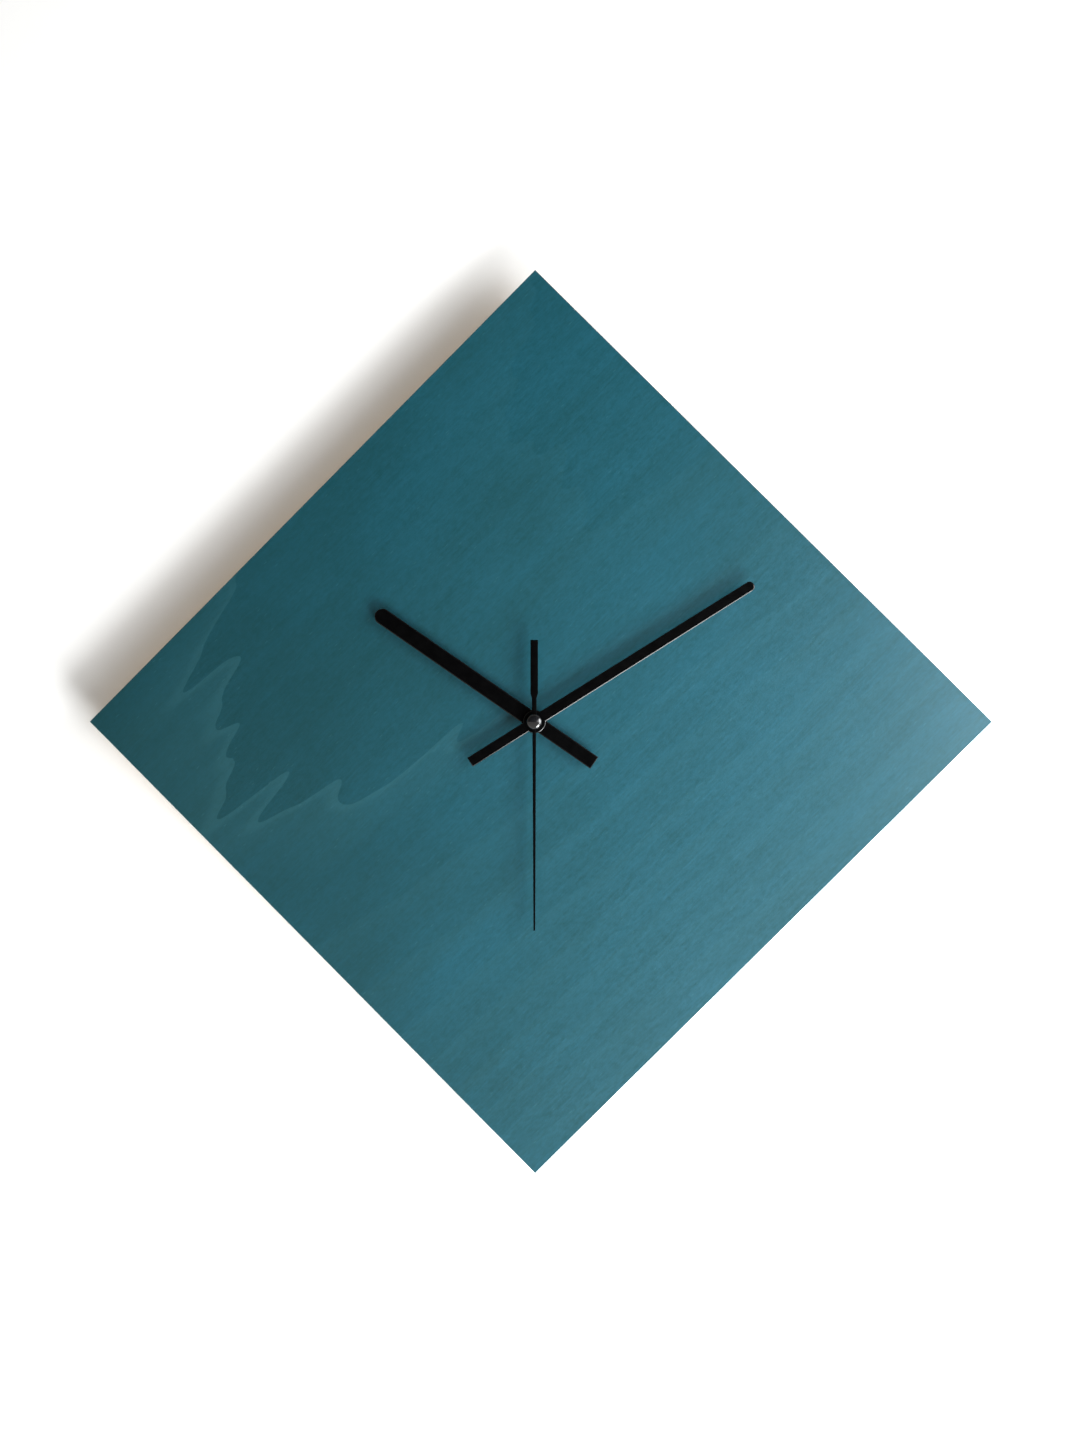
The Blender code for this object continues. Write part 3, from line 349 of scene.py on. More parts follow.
def dress(shader, colour=None, rough=None, *, relief, depth, strength):
    """Join a colour, a roughness and a relief too fine to model to the shader."""
    bump = add(relief.id_data, "ShaderNodeBump", [("Height", relief)], Distance=depth,
               Strength=strength)
    parts = {"Base Color": colour, "Roughness": rough, "Normal": bump.outputs[0]}
    for socket, value in parts.items():
        if value is not None:
            set_input(shader.inputs[socket], value)


print("and ends with a colour, a roughness or a relief")

# %% [markdown]
# ### Stained plywood
# The face is rotary-cut birch under a thin teal stain and a satin lacquer. The veneer's grain runs
# from the lower left side to the upper right one. Its figure is a cathedral: one growth ring cut so
# flat that its edge wanders across the board in teeth that point along the grain, each tooth a
# little paler behind its edge. The ring is made as a height over the board, with its edge where
# that height passes zero, and fainter rings follow further off where the height repeats.

# %% The growth rings
grain_turn = (0.0, math.radians(45), 0.0)
figure_foot = Vector((-0.118, 0.066))
figure_rise = 9.0
flank_width = 0.03
low_flank, high_flank = 38.0, 9.2
teeth_stretch, teeth_height = (9.0, 1.0, 57.0), 0.12
drift_stretch, drift_height = (2.5, 1.0, 8.0), 0.08


def wood_noise(tree, stretch, detail=3.0, roughness=0.5):
    """Noise drawn out along the veneer's grain."""
    return grain_noise(tree, 1.0, stretch, grain_turn, detail, roughness)


def board_figure(tree):
    """Height of the growth rings over the board, one unit per ring."""
    x, _, z = coordinates(tree, grain_turn)
    lengthwise = sums("SUBTRACT", x, figure_foot.x)
    across = sums("SUBTRACT", z, figure_foot.y)
    steepness = fit(across, -flank_width, flank_width, low_flank, high_flank, soft=True)
    arch = sums("MULTIPLY", sums("MULTIPLY", across, across), steepness)
    height = sums("SUBTRACT", lengthwise, arch)
    height = sway(wood_noise(tree, teeth_stretch, detail=1.1), teeth_height, height)
    height = sway(wood_noise(tree, drift_stretch, detail=1.0), drift_height, height)
    return sums("MULTIPLY", height, figure_rise)


print("the figure starts", round(figure_foot.length, 3), "m from the hands' arbor")

# %% [markdown]
# ### The stain over the figure
# The stain pools in the fibres and clouds over a few centimetres. Towards the left corner the
# colour is painted darker and greener, a painted shade where the lamps on the right reach less. The
# figure
# only lightens it a little: a wash inside the ring, a narrow crest along its edge, and the faint
# far rings. Pores that took no stain show as pale flecks.

# %% The face of the board
stain_deep = (0.0012, 0.0425, 0.053)
stain_thin = (0.0038, 0.067, 0.0985)
# painted shade: the darker, greener colour laid in towards the left corner
painted_shade_colour = (0.0005, 0.024, 0.025)
figure_pale = (0.032, 0.12, 0.142)
pore_pale = (0.05, 0.16, 0.185)
wash_share, crest_share, far_share = 0.08, 0.1, 0.05
figure_fades, figure_gone = 0.05, 0.13
# how much painted shade there is at the left, and between which x it fades out to the right
painted_shade_most, painted_shade_from, painted_shade_to = 0.52, -0.2, 0.04
fleck_share = 0.16


def figure_share(tree):
    """How far the growth rings lighten the stain."""
    height = board_figure(tree)
    inside = sums("LESS_THAN", height, 0.0)
    wash = sums("MULTIPLY", inside, fit(height, -0.7, 0.0))
    crest = sums("MULTIPLY", inside, fit(height, -0.12, -0.03, soft=True))
    far_rings = fit(sums("FRACT", sums("MULTIPLY", height, 0.55)), 0.45, 1.0)
    apart = add(tree, "ShaderNodeVectorMath", [(0, place_on(tree, grain_turn))],
                operation="DISTANCE")
    apart.inputs[1].default_value = (figure_foot.x + 0.03, 0.0, figure_foot.y)
    near = fit(apart.outputs["Value"], figure_fades, figure_gone, 1.0, 0.0, soft=True)
    paler = sums("MULTIPLY_ADD", crest, crest_share, sums("MULTIPLY", wash, wash_share))
    return sums("MULTIPLY_ADD", far_rings, far_share, sums("MULTIPLY", near, paler))


def stained_face():
    tree, shader = new_finish("stained_plywood", 0.42, stain_deep, Specular_IOR_Level=0.5)
    fibre = wood_noise(tree, (45.0, 45.0, 1500.0), detail=4.0, roughness=0.65)
    streak = wood_noise(tree, (6.0, 6.0, 160.0))
    mottle = wood_noise(tree, (340.0, 340.0, 780.0), roughness=0.7)
    cloud = grain_noise(tree, 14.0)
    tone = 0.0
    for layer, weight in ((streak, 0.26), (fibre, 0.4), (cloud, 0.3), (mottle, 0.52)):
        tone = sums("MULTIPLY_ADD", layer, weight, tone)
    colour = blend_colour(fit(tone, 0.56, 0.94), stain_deep, stain_thin)
    # Painted shade: darker and greener towards the left corner, where the lamps on the right reach
    # less.
    leftwards = sway(cloud, 0.1, coordinates(tree)["X"])
    painted_shade = fit(leftwards, painted_shade_from, painted_shade_to, painted_shade_most, 0.0, soft=True)
    colour = blend_colour(painted_shade, colour, painted_shade_colour)
    colour = blend_colour(figure_share(tree), colour, figure_pale)
    pores = add(tree, "ShaderNodeTexVoronoi",
                [("Vector", place_on(tree, grain_turn, (90, 90, 420)))],
                Scale=1.0, Randomness=1.0).outputs["Distance"]
    colour = blend_colour(fit(pores, 0.05, 0.11, fleck_share, 0.0), colour, pore_pale)
    dress(shader, colour,
          rough=fit(sums("ADD", fibre, mottle), 0.6, 1.4, 0.34, 0.43),
          relief=sums("MULTIPLY_ADD", mottle, 0.6, fibre), depth=0.05 * mm, strength=0.45)


stained_face()
print("the face finish has", len(finishes["stained_plywood"].node_tree.nodes), "nodes")

# %% [markdown]
# ### The board's edge and back
# Four millimetre birch ply has three plies. The outer ones show long grain on the edge and the core
# shows end grain, which drinks more stain and goes darker, with a thin glue line between. The back
# is left bare, with a little stain that ran over the edge when the face was wiped. The arris of the
# lower edges is painted pale blue-grey, a painted highlight where those edges catch the light.

# %% Edge, back and arris finishes
board_back, board_front = faces("dial_panel")
board_low, board_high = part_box("dial_panel")
board_side = (board_high.x - board_low.x) / math.sqrt(2)
ply = (board_back - board_front) / 3


def plied_edge():
    tree, shader = new_finish("plied_edge", 0.55, stain_deep)
    depth = sway(grain_noise(tree, 60.0, detail=2.0), 0.25 * mm, coordinates(tree)["Y"])
    layer = sums("DIVIDE", sums("SUBTRACT", depth, board_front), ply)
    core = sums("COMPARE", layer, 1.5, 0.5)
    to_glue = [sums("ABSOLUTE", sums("SUBTRACT", layer, joint)) for joint in (1.0, 2.0)]
    glue_line = fit(sums("MINIMUM", *to_glue), 0.03, 0.09, 0.75, 0.0)
    fibres = grain_noise(tree, 1500.0, (1.0, 0.25, 1.0), detail=4.0)
    pale = blend_colour(fibres, (0.02, 0.085, 0.1), (0.06, 0.15, 0.16))
    dark = blend_colour(fibres, (0.006, 0.035, 0.042), (0.022, 0.075, 0.085))
    colour = blend_colour(core, pale, dark)
    colour = blend_colour(glue_line, colour, (0.012, 0.022, 0.02))
    sunken = sums("SUBTRACT", fibres, sums("MULTIPLY", glue_line, 0.5))
    dress(shader, colour, relief=sunken, depth=0.05 * mm, strength=0.8)


def bare_birch():
    tree, shader = new_finish("bare_birch", 0.62, (0.55, 0.4, 0.25))
    fibre = wood_noise(tree, (30.0, 30.0, 1100.0), detail=4.0, roughness=0.6)
    streak = wood_noise(tree, (3.0, 3.0, 90.0))
    ring = sums("FRACT", sums("MULTIPLY", board_figure(tree), 1.7))
    tone = sums("MULTIPLY_ADD", ring, 0.14, sums("MULTIPLY_ADD", fibre, 0.7, streak))
    tone = fit(tone, 0.55, 1.25)
    pale_tone = blend_colour(tone, (0.64, 0.5, 0.34), (0.47, 0.34, 0.21))
    x, _, z = coordinates(tree, grain_turn)
    edge = sums("MAXIMUM", sums("ABSOLUTE", x), sums("ABSOLUTE", z))
    edge = sums("MULTIPLY_ADD", grain_noise(tree, 55.0, detail=5.0), 7 * mm, edge)
    spill = fit(edge, board_side / 2 + 1.4 * mm, board_side / 2 + 4.2 * mm)
    colour = blend_colour(sums("MULTIPLY", spill, 0.85), pale_tone, stain_thin)
    dress(shader, colour, relief=fibre, depth=0.05 * mm, strength=0.7)


def arris_painted_highlight():
    """Stained like the face above, with a pale blue-grey painted highlight on the lower edges."""
    tree, shader = new_finish("arris_painted_highlight", 0.5, stain_thin)
    arris_streaks = wood_noise(tree, (40.0, 40.0, 260.0), detail=4.0, roughness=0.6)
    # Painted highlight: low on the board the arris turns pale blue-grey, broken up in streaks.
    height = sums("MULTIPLY_ADD", arris_streaks, 30 * mm, coordinates(tree)["Z"])
    painted_highlight_share = fit(height, 10 * mm, 20 * mm, 1.0, 0.06)
    pale_tone = blend_colour(fit(arris_streaks, 0.3, 0.6), (0.22, 0.34, 0.38), (0.52, 0.6, 0.62))
    colour = blend_colour(painted_highlight_share, (0.006, 0.05, 0.062), pale_tone)
    dress(shader, colour, relief=arris_streaks, depth=0.03 * mm, strength=0.5)


plied_edge()
bare_birch()
arris_painted_highlight()
print("three plies of", round(ply / mm, 2), "mm in a board", round(board_side / mm), "mm square")

# %% [markdown]
# ### Paint, plastic, rubber and metal
# These share one recipe: a base colour that varies a little over a few millimetres, a roughness
# that varies with handling, and a fine relief, such as the spark-eroded texture of a mould, brush
# lines or the orange peel of paint. Only the numbers differ, so one function makes them all.


# %% One recipe for the plain finishes
def plain_finish(name, dark, light, roughness, scale, depth, metal=0.0, stretch=even,
                 spread=0.08, patch=120.0, strength=0.6, **constants):
    """Two shades in patches, a roughness that spreads about its middle, and a fine relief."""
    tree, shader = new_finish(name, roughness, light, metal, **constants)
    fine = grain_noise(tree, scale, stretch, roughness=0.6)
    broad = grain_noise(tree, patch, detail=4.0)
    tone = sums("MULTIPLY_ADD", fine, 0.5, sums("MULTIPLY", broad, 0.5))
    dress(shader, blend_colour(fit(tone, 0.3, 0.7), dark, light),
          rough=fit(broad, 0.3, 0.7, roughness - spread, roughness + spread),
          relief=fine, depth=depth * mm, strength=strength)


# name, darker and lighter shade, roughness, marks to the metre, their depth in mm, what else
machined = dict(metal=1.0, stretch=(1.0, 14.0, 1.0), patch=700.0)
plain_finishes = (
    ("black_hand_paint", (0.0003, 0.0003, 0.0004), (0.0008, 0.0008, 0.0009), 0.42, 1400.0, 0.002,
     dict(spread=0.05, patch=300.0, Specular_IOR_Level=0.04)),
    ("rubbed_black_paint", (0.002, 0.002, 0.0022), (0.0045, 0.0045, 0.005), 0.22, 1400.0, 0.001,
     dict(spread=0.03, patch=300.0, Specular_IOR_Level=0.28)),
    ("black_gloss_paint", (0.004, 0.0042, 0.005), (0.0075, 0.0078, 0.009), 0.12, 500.0, 0.002,
     dict(spread=0.03, patch=600.0, Specular_IOR_Level=1.0)),
    ("case_plastic", (0.01, 0.01, 0.011), (0.022, 0.022, 0.024), 0.5, 3200.0, 0.03,
     dict(strength=0.5, spread=0.07)),
    ("bridge_plastic", (0.48, 0.48, 0.45), (0.6, 0.6, 0.57), 0.48, 2600.0, 0.02, {}),
    ("gear_plastic", (0.6, 0.58, 0.5), (0.74, 0.72, 0.65), 0.42, 1800.0, 0.012,
     dict(patch=260.0)),
    ("rubber", (0.012, 0.012, 0.012), (0.034, 0.033, 0.032), 0.78, 2400.0, 0.04,
     dict(spread=0.06)),
    ("brass", (0.6, 0.4, 0.16), (0.78, 0.56, 0.27), 0.28, 500.0, 0.006, machined),
    ("steel", (0.5, 0.5, 0.52), (0.66, 0.66, 0.67), 0.27, 500.0, 0.005, machined),
    ("nickel_strip", (0.58, 0.56, 0.52), (0.72, 0.7, 0.66), 0.24, 300.0, 0.005,
     dict(metal=1.0, stretch=(12.0, 1.0, 1.0), patch=400.0)),
    ("soft_iron", (0.38, 0.38, 0.4), (0.52, 0.52, 0.54), 0.36, 900.0, 0.008,
     dict(metal=1.0, patch=300.0)),
    ("rotor_magnet_grey", (0.09, 0.09, 0.1), (0.15, 0.15, 0.16), 0.42, 3000.0, 0.02,
     dict(metal=0.6)),
    ("chip_epoxy", (0.006, 0.006, 0.006), (0.014, 0.014, 0.014), 0.26, 900.0, 0.01,
     dict(patch=500.0)),
    ("can_steel", (0.55, 0.55, 0.56), (0.7, 0.7, 0.71), 0.24, 700.0, 0.004,
     dict(metal=1.0, patch=500.0)),
)
for *plain_row, others in plain_finishes:
    plain_finish(*plain_row, **others)
print(len(plain_finishes), "plain finishes made")

# %% [markdown]
# ### Finishes with a pattern
# Three small parts need more than a grain. The circuit board shows the weave of its glass cloth
# under green mask. The coil shows its turns of lacquered wire. The battery wears a printed sleeve:
# plain charcoal with a silver band at the positive end, and no lettering.

# %% Board, winding and battery sleeve
cell_low, cell_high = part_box("battery_cell")
silver_band = cell_high.x - 12 * mm


def waves(tree, direction, scale, wobble):
    """Ridges that follow one another along a direction."""
    return add(tree, "ShaderNodeTexWave", [("Vector", place_on(tree))], Scale=scale,
               Distortion=wobble, bands_direction=direction).outputs["Fac"]


def solder_mask():
    tree, shader = new_finish("board_green", 0.32, (0.03, 0.16, 0.06), Coat_Weight=0.3)
    cloth = sums("MULTIPLY", *[waves(tree, thread, 420.0, 1.2) for thread in ("X", "Z")])
    dress(shader, blend_colour(cloth, (0.016, 0.105, 0.038), (0.04, 0.19, 0.08)),
          rough=fit(grain_noise(tree, 300.0), 0.3, 0.7, 0.26, 0.4),
          relief=cloth, depth=0.01 * mm, strength=0.5)


def wound_wire():
    tree, shader = new_finish("copper_wire", 0.3, (0.72, 0.28, 0.12), 1.0, Coat_Weight=0.4)
    turns = waves(tree, "Z", 1900.0, 0.6)
    dress(shader, blend_colour(turns, (0.3, 0.085, 0.03), (0.82, 0.34, 0.15)),
          rough=fit(grain_noise(tree, 500.0), 0.3, 0.7, 0.24, 0.38),
          relief=turns, depth=0.05 * mm, strength=0.9)


def cell_sleeve():
    tree, shader = new_finish("battery_jacket", 0.3, (0.1, 0.11, 0.12), 0.25, Coat_Weight=0.5)
    wander = sums("MULTIPLY_ADD", grain_noise(tree, 400.0), 0.12 * mm, coordinates(tree)["X"])
    band = fit(wander, silver_band, silver_band + 0.25 * mm)
    flake = grain_noise(tree, 5000.0, detail=1.0)
    charcoal = blend_colour(flake, (0.03, 0.035, 0.042), (0.07, 0.078, 0.09))
    silver = blend_colour(flake, (0.42, 0.43, 0.45), (0.62, 0.63, 0.65))
    scuffs = grain_noise(tree, 1.0, (40.0, 900.0, 900.0), detail=5.0, roughness=0.7)
    dress(shader, blend_colour(band, charcoal, silver),
          rough=fit(scuffs, 0.35, 0.7, 0.22, 0.42),
          relief=sums("MULTIPLY_ADD", band, 0.6, scuffs), depth=0.008 * mm, strength=0.7)


solder_mask()
wound_wire()
cell_sleeve()
print("the sleeve's silver band starts at x =", round(silver_band / mm, 1), "mm")

# %% [markdown]
# ## The inside of the movement
# The gears, arbors, contacts, board and motor already have their true shape in the working model:
# involute teeth, pivots and bent strips. They stay as they are, and each gets the better finish of
# its own material.

# %% Better finishes on the working model's own nodes
for row in frame["record"]["subparts"]:
    for place in frame["nodes"][row["node"]].material_slots:
        place.material = finishes[row["material_slot"]]

# %% [markdown]
# ## The board
# The board is a 300 mm square with a hole for the movement's bushing. A sharp printed square would
# look false, so the four corners are eased by hand-sanding and both long edges carry a small rolled
# arris. The front arris has its own finish, with a painted highlight on the lower edges, the edge
# shows the plies and the back is bare.

# %% Cutting, easing and finishing the board
arris = 0.35 * mm
corner_ease = 0.35 * mm
half_side = board_side / 2
bushing_hole = circle(3.8 * mm, 48)

square = box_outline(-half_side, -half_side, half_side, half_side)
diamond = turned_by(rounded(square, corner_ease), math.radians(45))


def board_faces(face):
    """Number of the finish: face, plied edge, bare back, or the arris between face and edge."""
    towards_wall = face.normal.y
    if towards_wall < -0.98:
        return 0
    if towards_wall > 0.8:
        return 2
    return 3 if towards_wall < -0.15 else 1


finished("plywood_board", plate(diamond, rolled(arris, board_back, board_front), [bushing_hole]),
         ["stained_plywood", "plied_edge", "bare_birch", "arris_painted_highlight"], "dial_panel",
         choose=board_faces)

# %% [markdown]
# ## The movement's case
# The case is moulded in two halves from black plastic: a deep rear shell with the battery bay, the
# knob's recess and the hanging loop, and a flat front cover. The working model has their true
# inside, so each half starts as a copy of its node. The copy is then carved with the shallow marks
# a mould leaves: a blank label field, a turning arrow, the battery's plus and minus, and ejector
# marks. Last, its edges are rounded, since no mould makes a sharp one.


# %% Copying a node, carving it and rounding its edges
def copied(node):
    """The node's mesh as one skin, with the flat faces made whole again."""
    bm = bmesh.new()
    bm.from_mesh(frame["nodes"][node].data)
    merged(bm)
    return bm


def merged(bm):
    """Join points that lie together, and faces that lie in one plane."""
    bmesh.ops.remove_doubles(bm, verts=bm.verts, dist=0.002 * mm)
    bmesh.ops.dissolve_limit(bm, angle_limit=math.radians(1), verts=bm.verts, edges=bm.edges,
                             delimit={"NORMAL"})


def bench_object(name, bm):
    """An object that is on the bench for one cut only."""
    mesh = bpy.data.meshes.new(name)
    bm.to_mesh(mesh)
    return placed(name, mesh)


def carved(bm, cutters):
    """The piece with every cutter taken out of it."""
    stock = bench_object("stock", bm)
    tools = []
    for number, cutter in enumerate(cutters):
        bmesh.ops.recalc_face_normals(cutter, faces=cutter.faces)
        tools.append(bench_object(f"cutter_{number}", cutter))
        cut = stock.modifiers.new("cut", "BOOLEAN")
        cut.operation = "DIFFERENCE"
        cut.solver = "EXACT"
        cut.object = tools[-1]
    result = bmesh.new()
    result.from_object(stock, bpy.context.evaluated_depsgraph_get())
    for leftover in [stock, *tools]:
        bpy.data.objects.remove(leftover)
    merged(result)
    return result


def round_edges(bm, radius, steps, wanted):
    """Round every sharp edge whose two ends pass the test, and count them."""
    chosen = [edge for edge in bm.edges
              if len(edge.link_faces) == 2
              and edge.calc_face_angle() > math.radians(50)
              and all(wanted(vert.co) for vert in edge.verts)]
    bmesh.ops.bevel(bm, geom=chosen, offset=radius, offset_type="OFFSET", segments=steps,
                    profile=0.5, affect="EDGES", clamp_overlap=True)
    return len(chosen)


def level_with(value, wanted):
    return abs(value - wanted) < hair


print("edges are rounded where their ends pass a test")

# %% [markdown]
# ### Marks on the rear face
# All marks are sunk a little into the face that rests on the wall, so nothing stands proud of it.

# %% Drawing the marks
case_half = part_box("movement_front_cover")[1].x
shell_rear, shell_front = faces("movement_case")
knob_middle = centre_of("setting_knob")
knob_place = Vector((knob_middle.x, knob_middle.z))
bay_top = cell_high.z + 0.7 * mm
mark_depth, ejector_depth, gate_depth = 0.25 * mm, 0.12 * mm, 0.35 * mm


def sunk(outline, depth=mark_depth):
    """A cutter that starts outside the rear face and stops at a depth."""
    return plate(outline, [(0.0, shell_rear + 1 * mm), (0.0, shell_rear - depth)])


def cross(centre, reach, half):
    """A plus sign."""
    quarter = [Vector((reach, -half)), Vector((reach, half)), Vector((half, half))]
    return [centre + turned_by([point], -math.pi / 2 * turn)[0]
            for turn in range(4) for point in quarter]


def turning_arrow(centre, radius, width, start, end):
    """An arc round the knob that ends in an arrowhead."""
    outer = arc(centre, radius + width / 2, start, end, 16)
    inner = arc(centre, radius - width / 2, start, end, 16)
    barb, point_turn = width * 1.6, 0.3
    head = [centre + (radius + barb) * along(end), centre + radius * along(end + point_turn),
            centre + (radius - barb) * along(end)]
    return outer + head + inner[::-1]


def oriented(outline):
    """The outline run anticlockwise."""
    area = sum(a.x * b.y - b.x * a.y for a, b in zip(outline, outline[1:] + outline[:1]))
    return outline if area > 0 else outline[::-1]


label_field = rounded(box_outline(left=-1 * mm, bottom=1 * mm, right=case_half - 4 * mm,
                                  top=case_half - 5 * mm), 1.2 * mm)
plus = cross(Vector((case_half - 6.5 * mm, bay_top + 3.4 * mm)), reach=1.5 * mm, half=0.3 * mm)
minus = box_outline(left=-case_half + 5 * mm, bottom=bay_top + 3.1 * mm,
                    right=-case_half + 8 * mm, top=bay_top + 3.7 * mm)
arrow = oriented(turning_arrow(knob_place, radius=7.6 * mm, width=0.6 * mm,
                               start=math.radians(35), end=math.radians(145)))
gate = circle(0.9 * mm, 24, Vector((-case_half * 0.55, case_half * 0.62)))
marks = [sunk(outline) for outline in (label_field, plus, minus, arrow)]
for side in (-1, 1):
    ejector_place = Vector((side * case_half * 0.86, case_half * 0.86))
    marks.append(sunk(circle(1.3 * mm, 24, ejector_place), ejector_depth))
marks.append(sunk(gate, gate_depth))
print(len(marks), "marks, sunk", mark_depth / mm, "mm")

# %% [markdown]
# ### Snap pockets and grip ribs
# The cover's hooks snap into four pockets on the shell's sides. Fine ribs on the two upright sides
# give a grip when the movement is turned into the panel's hole.

# %% Cutting pockets and ribs, then rounding the shell
pocket_length = 7 * mm
pocket_height = 3.2 * mm
pocket_depth = 0.6 * mm
pocket_places = {"low": -14 * mm, "high": 12 * mm}
groove_count = 9
groove_low = -5.2 * mm
groove_step = 1.3
groove_half = 0.3 * mm
groove_depth = 0.35 * mm
corner_radius, rim_radius, mouth_radius, cover_radius = 2.2 * mm, 0.55 * mm, 0.1 * mm, 0.25 * mm


def side_block(sign, middle, half, y_low, y_high, depth):
    """A box that cuts into the shell's left or right side."""
    left, right = sorted((sign * (case_half + 1 * mm), sign * (case_half - depth)))
    return plate(box_outline(left, middle - half, right, middle + half),
                 [(0.0, y_high), (0.0, y_low)])


def at_case_corner(p):
    return level_with(abs(p.x), case_half) and level_with(abs(p.z), case_half)


def on_rear_rim(p):
    at_edge = max(abs(p.x), abs(p.z)) > case_half - 2.3 * mm and p.z < case_half + hair
    return level_with(p.y, shell_rear) and at_edge


def on_mouth_or_loop(p):
    return level_with(p.y, shell_rear) or p.z > case_half + 0.5 * mm


side_cuts = []
for sign in (-1, 1):
    for place in pocket_places.values():
        side_cuts.append(side_block(sign, place, pocket_length / 2, shell_front - 1 * mm,
                                    shell_front + pocket_height, pocket_depth))
    for step in range(groove_count):
        side_cuts.append(side_block(sign, groove_low + step * groove_step * mm, groove_half,
                                    shell_front + 2.5 * mm, shell_rear - 3 * mm, groove_depth))

shell_mesh = carved(copied("movement_case"), marks + side_cuts)
corners = round_edges(shell_mesh, corner_radius, 6, at_case_corner)
rim = round_edges(shell_mesh, rim_radius, 3, on_rear_rim)
mouths = round_edges(shell_mesh, mouth_radius, 2, on_mouth_or_loop)
print(corners, "corners,", rim, "rim edges and", mouths, "mouth edges rounded")
finished("rear_shell", shell_mesh, ["case_plastic"], "movement_case")

# %% The front cover and its snap hooks
cover_rear, cover_front = faces("movement_front_cover")
cover_mesh = copied("movement_front_cover")
round_edges(cover_mesh, corner_radius, 6, at_case_corner)
round_edges(cover_mesh, cover_radius, 2, lambda p: level_with(p.y, cover_front))
finished("front_cover", cover_mesh, ["case_plastic"], "movement_front_cover")

hook_half = pocket_length / 2 - 0.4 * mm
hook_outline = rounded(box_outline(left=-hook_half, bottom=-pocket_depth + 0.15 * mm,
                                   right=hook_half, top=0.0), 0.12 * mm, 3)
hook_levels = rolled(0.15 * mm, shell_front + pocket_height - 0.3 * mm, cover_rear + 0.02 * mm, 2)
for side_name, sign in (("left", -1), ("right", 1)):
    for level, place in pocket_places.items():
        hook = [Vector((sign * (case_half + p.y), place - sign * p.x)) for p in hook_outline]
        finished(f"snap_hook_{side_name}_{level}", plate(oriented(hook), hook_levels),
                 ["case_plastic"])

# %% [markdown]
# ## Battery and setting knob
# The cell is a drawn steel can in a shrunk sleeve: the sleeve rolls over both ends, the positive
# end carries a pressed button and the negative end a flat plate in a groove. The knob is moulded
# with ribs for a fingertip and a plain dimple at its middle.

# %% Spinning the cell
cell_middle = centre_of("battery_cell")
cell_radius = (cell_high.z - cell_low.z) / 2
cell_length = cell_high.x - cell_low.x
can_end = cell_length - 1.2 * mm
roll = 0.7 * mm
button_radius, button_roll = 2.35 * mm, 0.4 * mm


def quarter_turn(centre_radius, centre_far, radius, start, steps=6):
    """A quarter of a circle in a turned profile, as (radius, distance) points."""
    return [(centre_radius + radius * math.cos(a), centre_far + radius * math.sin(a))
            for a in (start + math.pi / 2 * step / steps for step in range(steps + 1))]


def cell_faces(face):
    """Bare steel near the middle of both ends, the sleeve elsewhere."""
    middle = face.calc_center_median()
    off_axis = math.hypot(middle.y - cell_middle.y, middle.z - cell_middle.z)
    return 1 if off_axis < 5.6 * mm else 0


negative_end = [(0.0, 0.12), (4.3, 0.12), (4.5, 0.0), (5.2, 0.0), (5.35, 0.35), (5.75, 0.35),
                (5.9, 0.08)]
positive_end = [(5.6, 0.0), (5.5, -0.3), (3.6, -0.3), (3.1, 0.0)]
cell_profile = [(radius * mm, far * mm) for radius, far in negative_end]
cell_profile += quarter_turn(cell_radius - roll, roll + 0.05 * mm, roll, -math.pi / 2)
cell_profile += quarter_turn(cell_radius - roll, can_end - roll, roll, 0.0)
cell_profile += [(radius * mm, can_end + far * mm) for radius, far in positive_end]
cell_profile += quarter_turn(button_radius, cell_length - button_roll, button_roll, 0.0)
cell_profile += [(0.0, cell_length)]
finished("aa_cell", turned(cell_profile, (cell_low.x, cell_middle.y, cell_middle.z), (1, 0, 0)),
         ["battery_jacket", "can_steel"], "battery_cell", sharp=50, choose=cell_faces)

# %% Rounding the knob
knob_rear, _ = faces("setting_knob")
dimple_profile = [(0.0, -1.0), (2.2, -1.0), (2.0, 0.45), (0.0, 0.7)]
dimple = turned([(radius * mm, far * mm) for radius, far in dimple_profile],
                (knob_place.x, knob_rear, knob_place.y), (0, -1, 0), 32)
knob_mesh = carved(copied("setting_knob"), [dimple])
round_edges(knob_mesh, 0.22 * mm, 2, lambda p: level_with(p.y, knob_rear))
finished("set_knob", knob_mesh, ["gear_plastic"], "setting_knob", "setting")

# %% [markdown]
# ## The fastening
# A brass bushing comes through the panel. A rubber washer takes up the slack behind it, and a
# steel washer and a hexagon nut clamp it from the front. Thread, chamfers and rounded rims are what
# tell a real nut and bushing from plain rings, so they are turned in full.


# %% Washers and nut
def ring_sizes(node):
    """The y of a ring's two faces, and how far it reaches from the arbor."""
    return *faces(node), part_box(node)[1].x


def washer(name, node, finish, roll_radius):
    rear, front, radius = ring_sizes(node)
    finished(name, plate(circle(radius), rolled(roll_radius, rear, front, 3), [bushing_hole]),
             [finish], node)


washer("rubber_ring", "rubber_washer", "rubber", 0.2 * mm)
washer("steel_ring", "flat_washer", "steel", 0.1 * mm)

nut_rear, nut_front, nut_reach = ring_sizes("hex_nut")
nut_chamfer = 0.3 * mm
nut_corner = 0.25 * mm
nut_levels = [(nut_chamfer, nut_rear), (0.0, nut_rear - 0.6 * nut_chamfer),
              (0.0, nut_front + 0.6 * nut_chamfer), (nut_chamfer, nut_front)]
nut_outline = rounded(circle(nut_reach, 6), nut_corner, 4)
finished("brass_nut", plate(nut_outline, nut_levels, [bushing_hole]), ["brass"], "hex_nut")

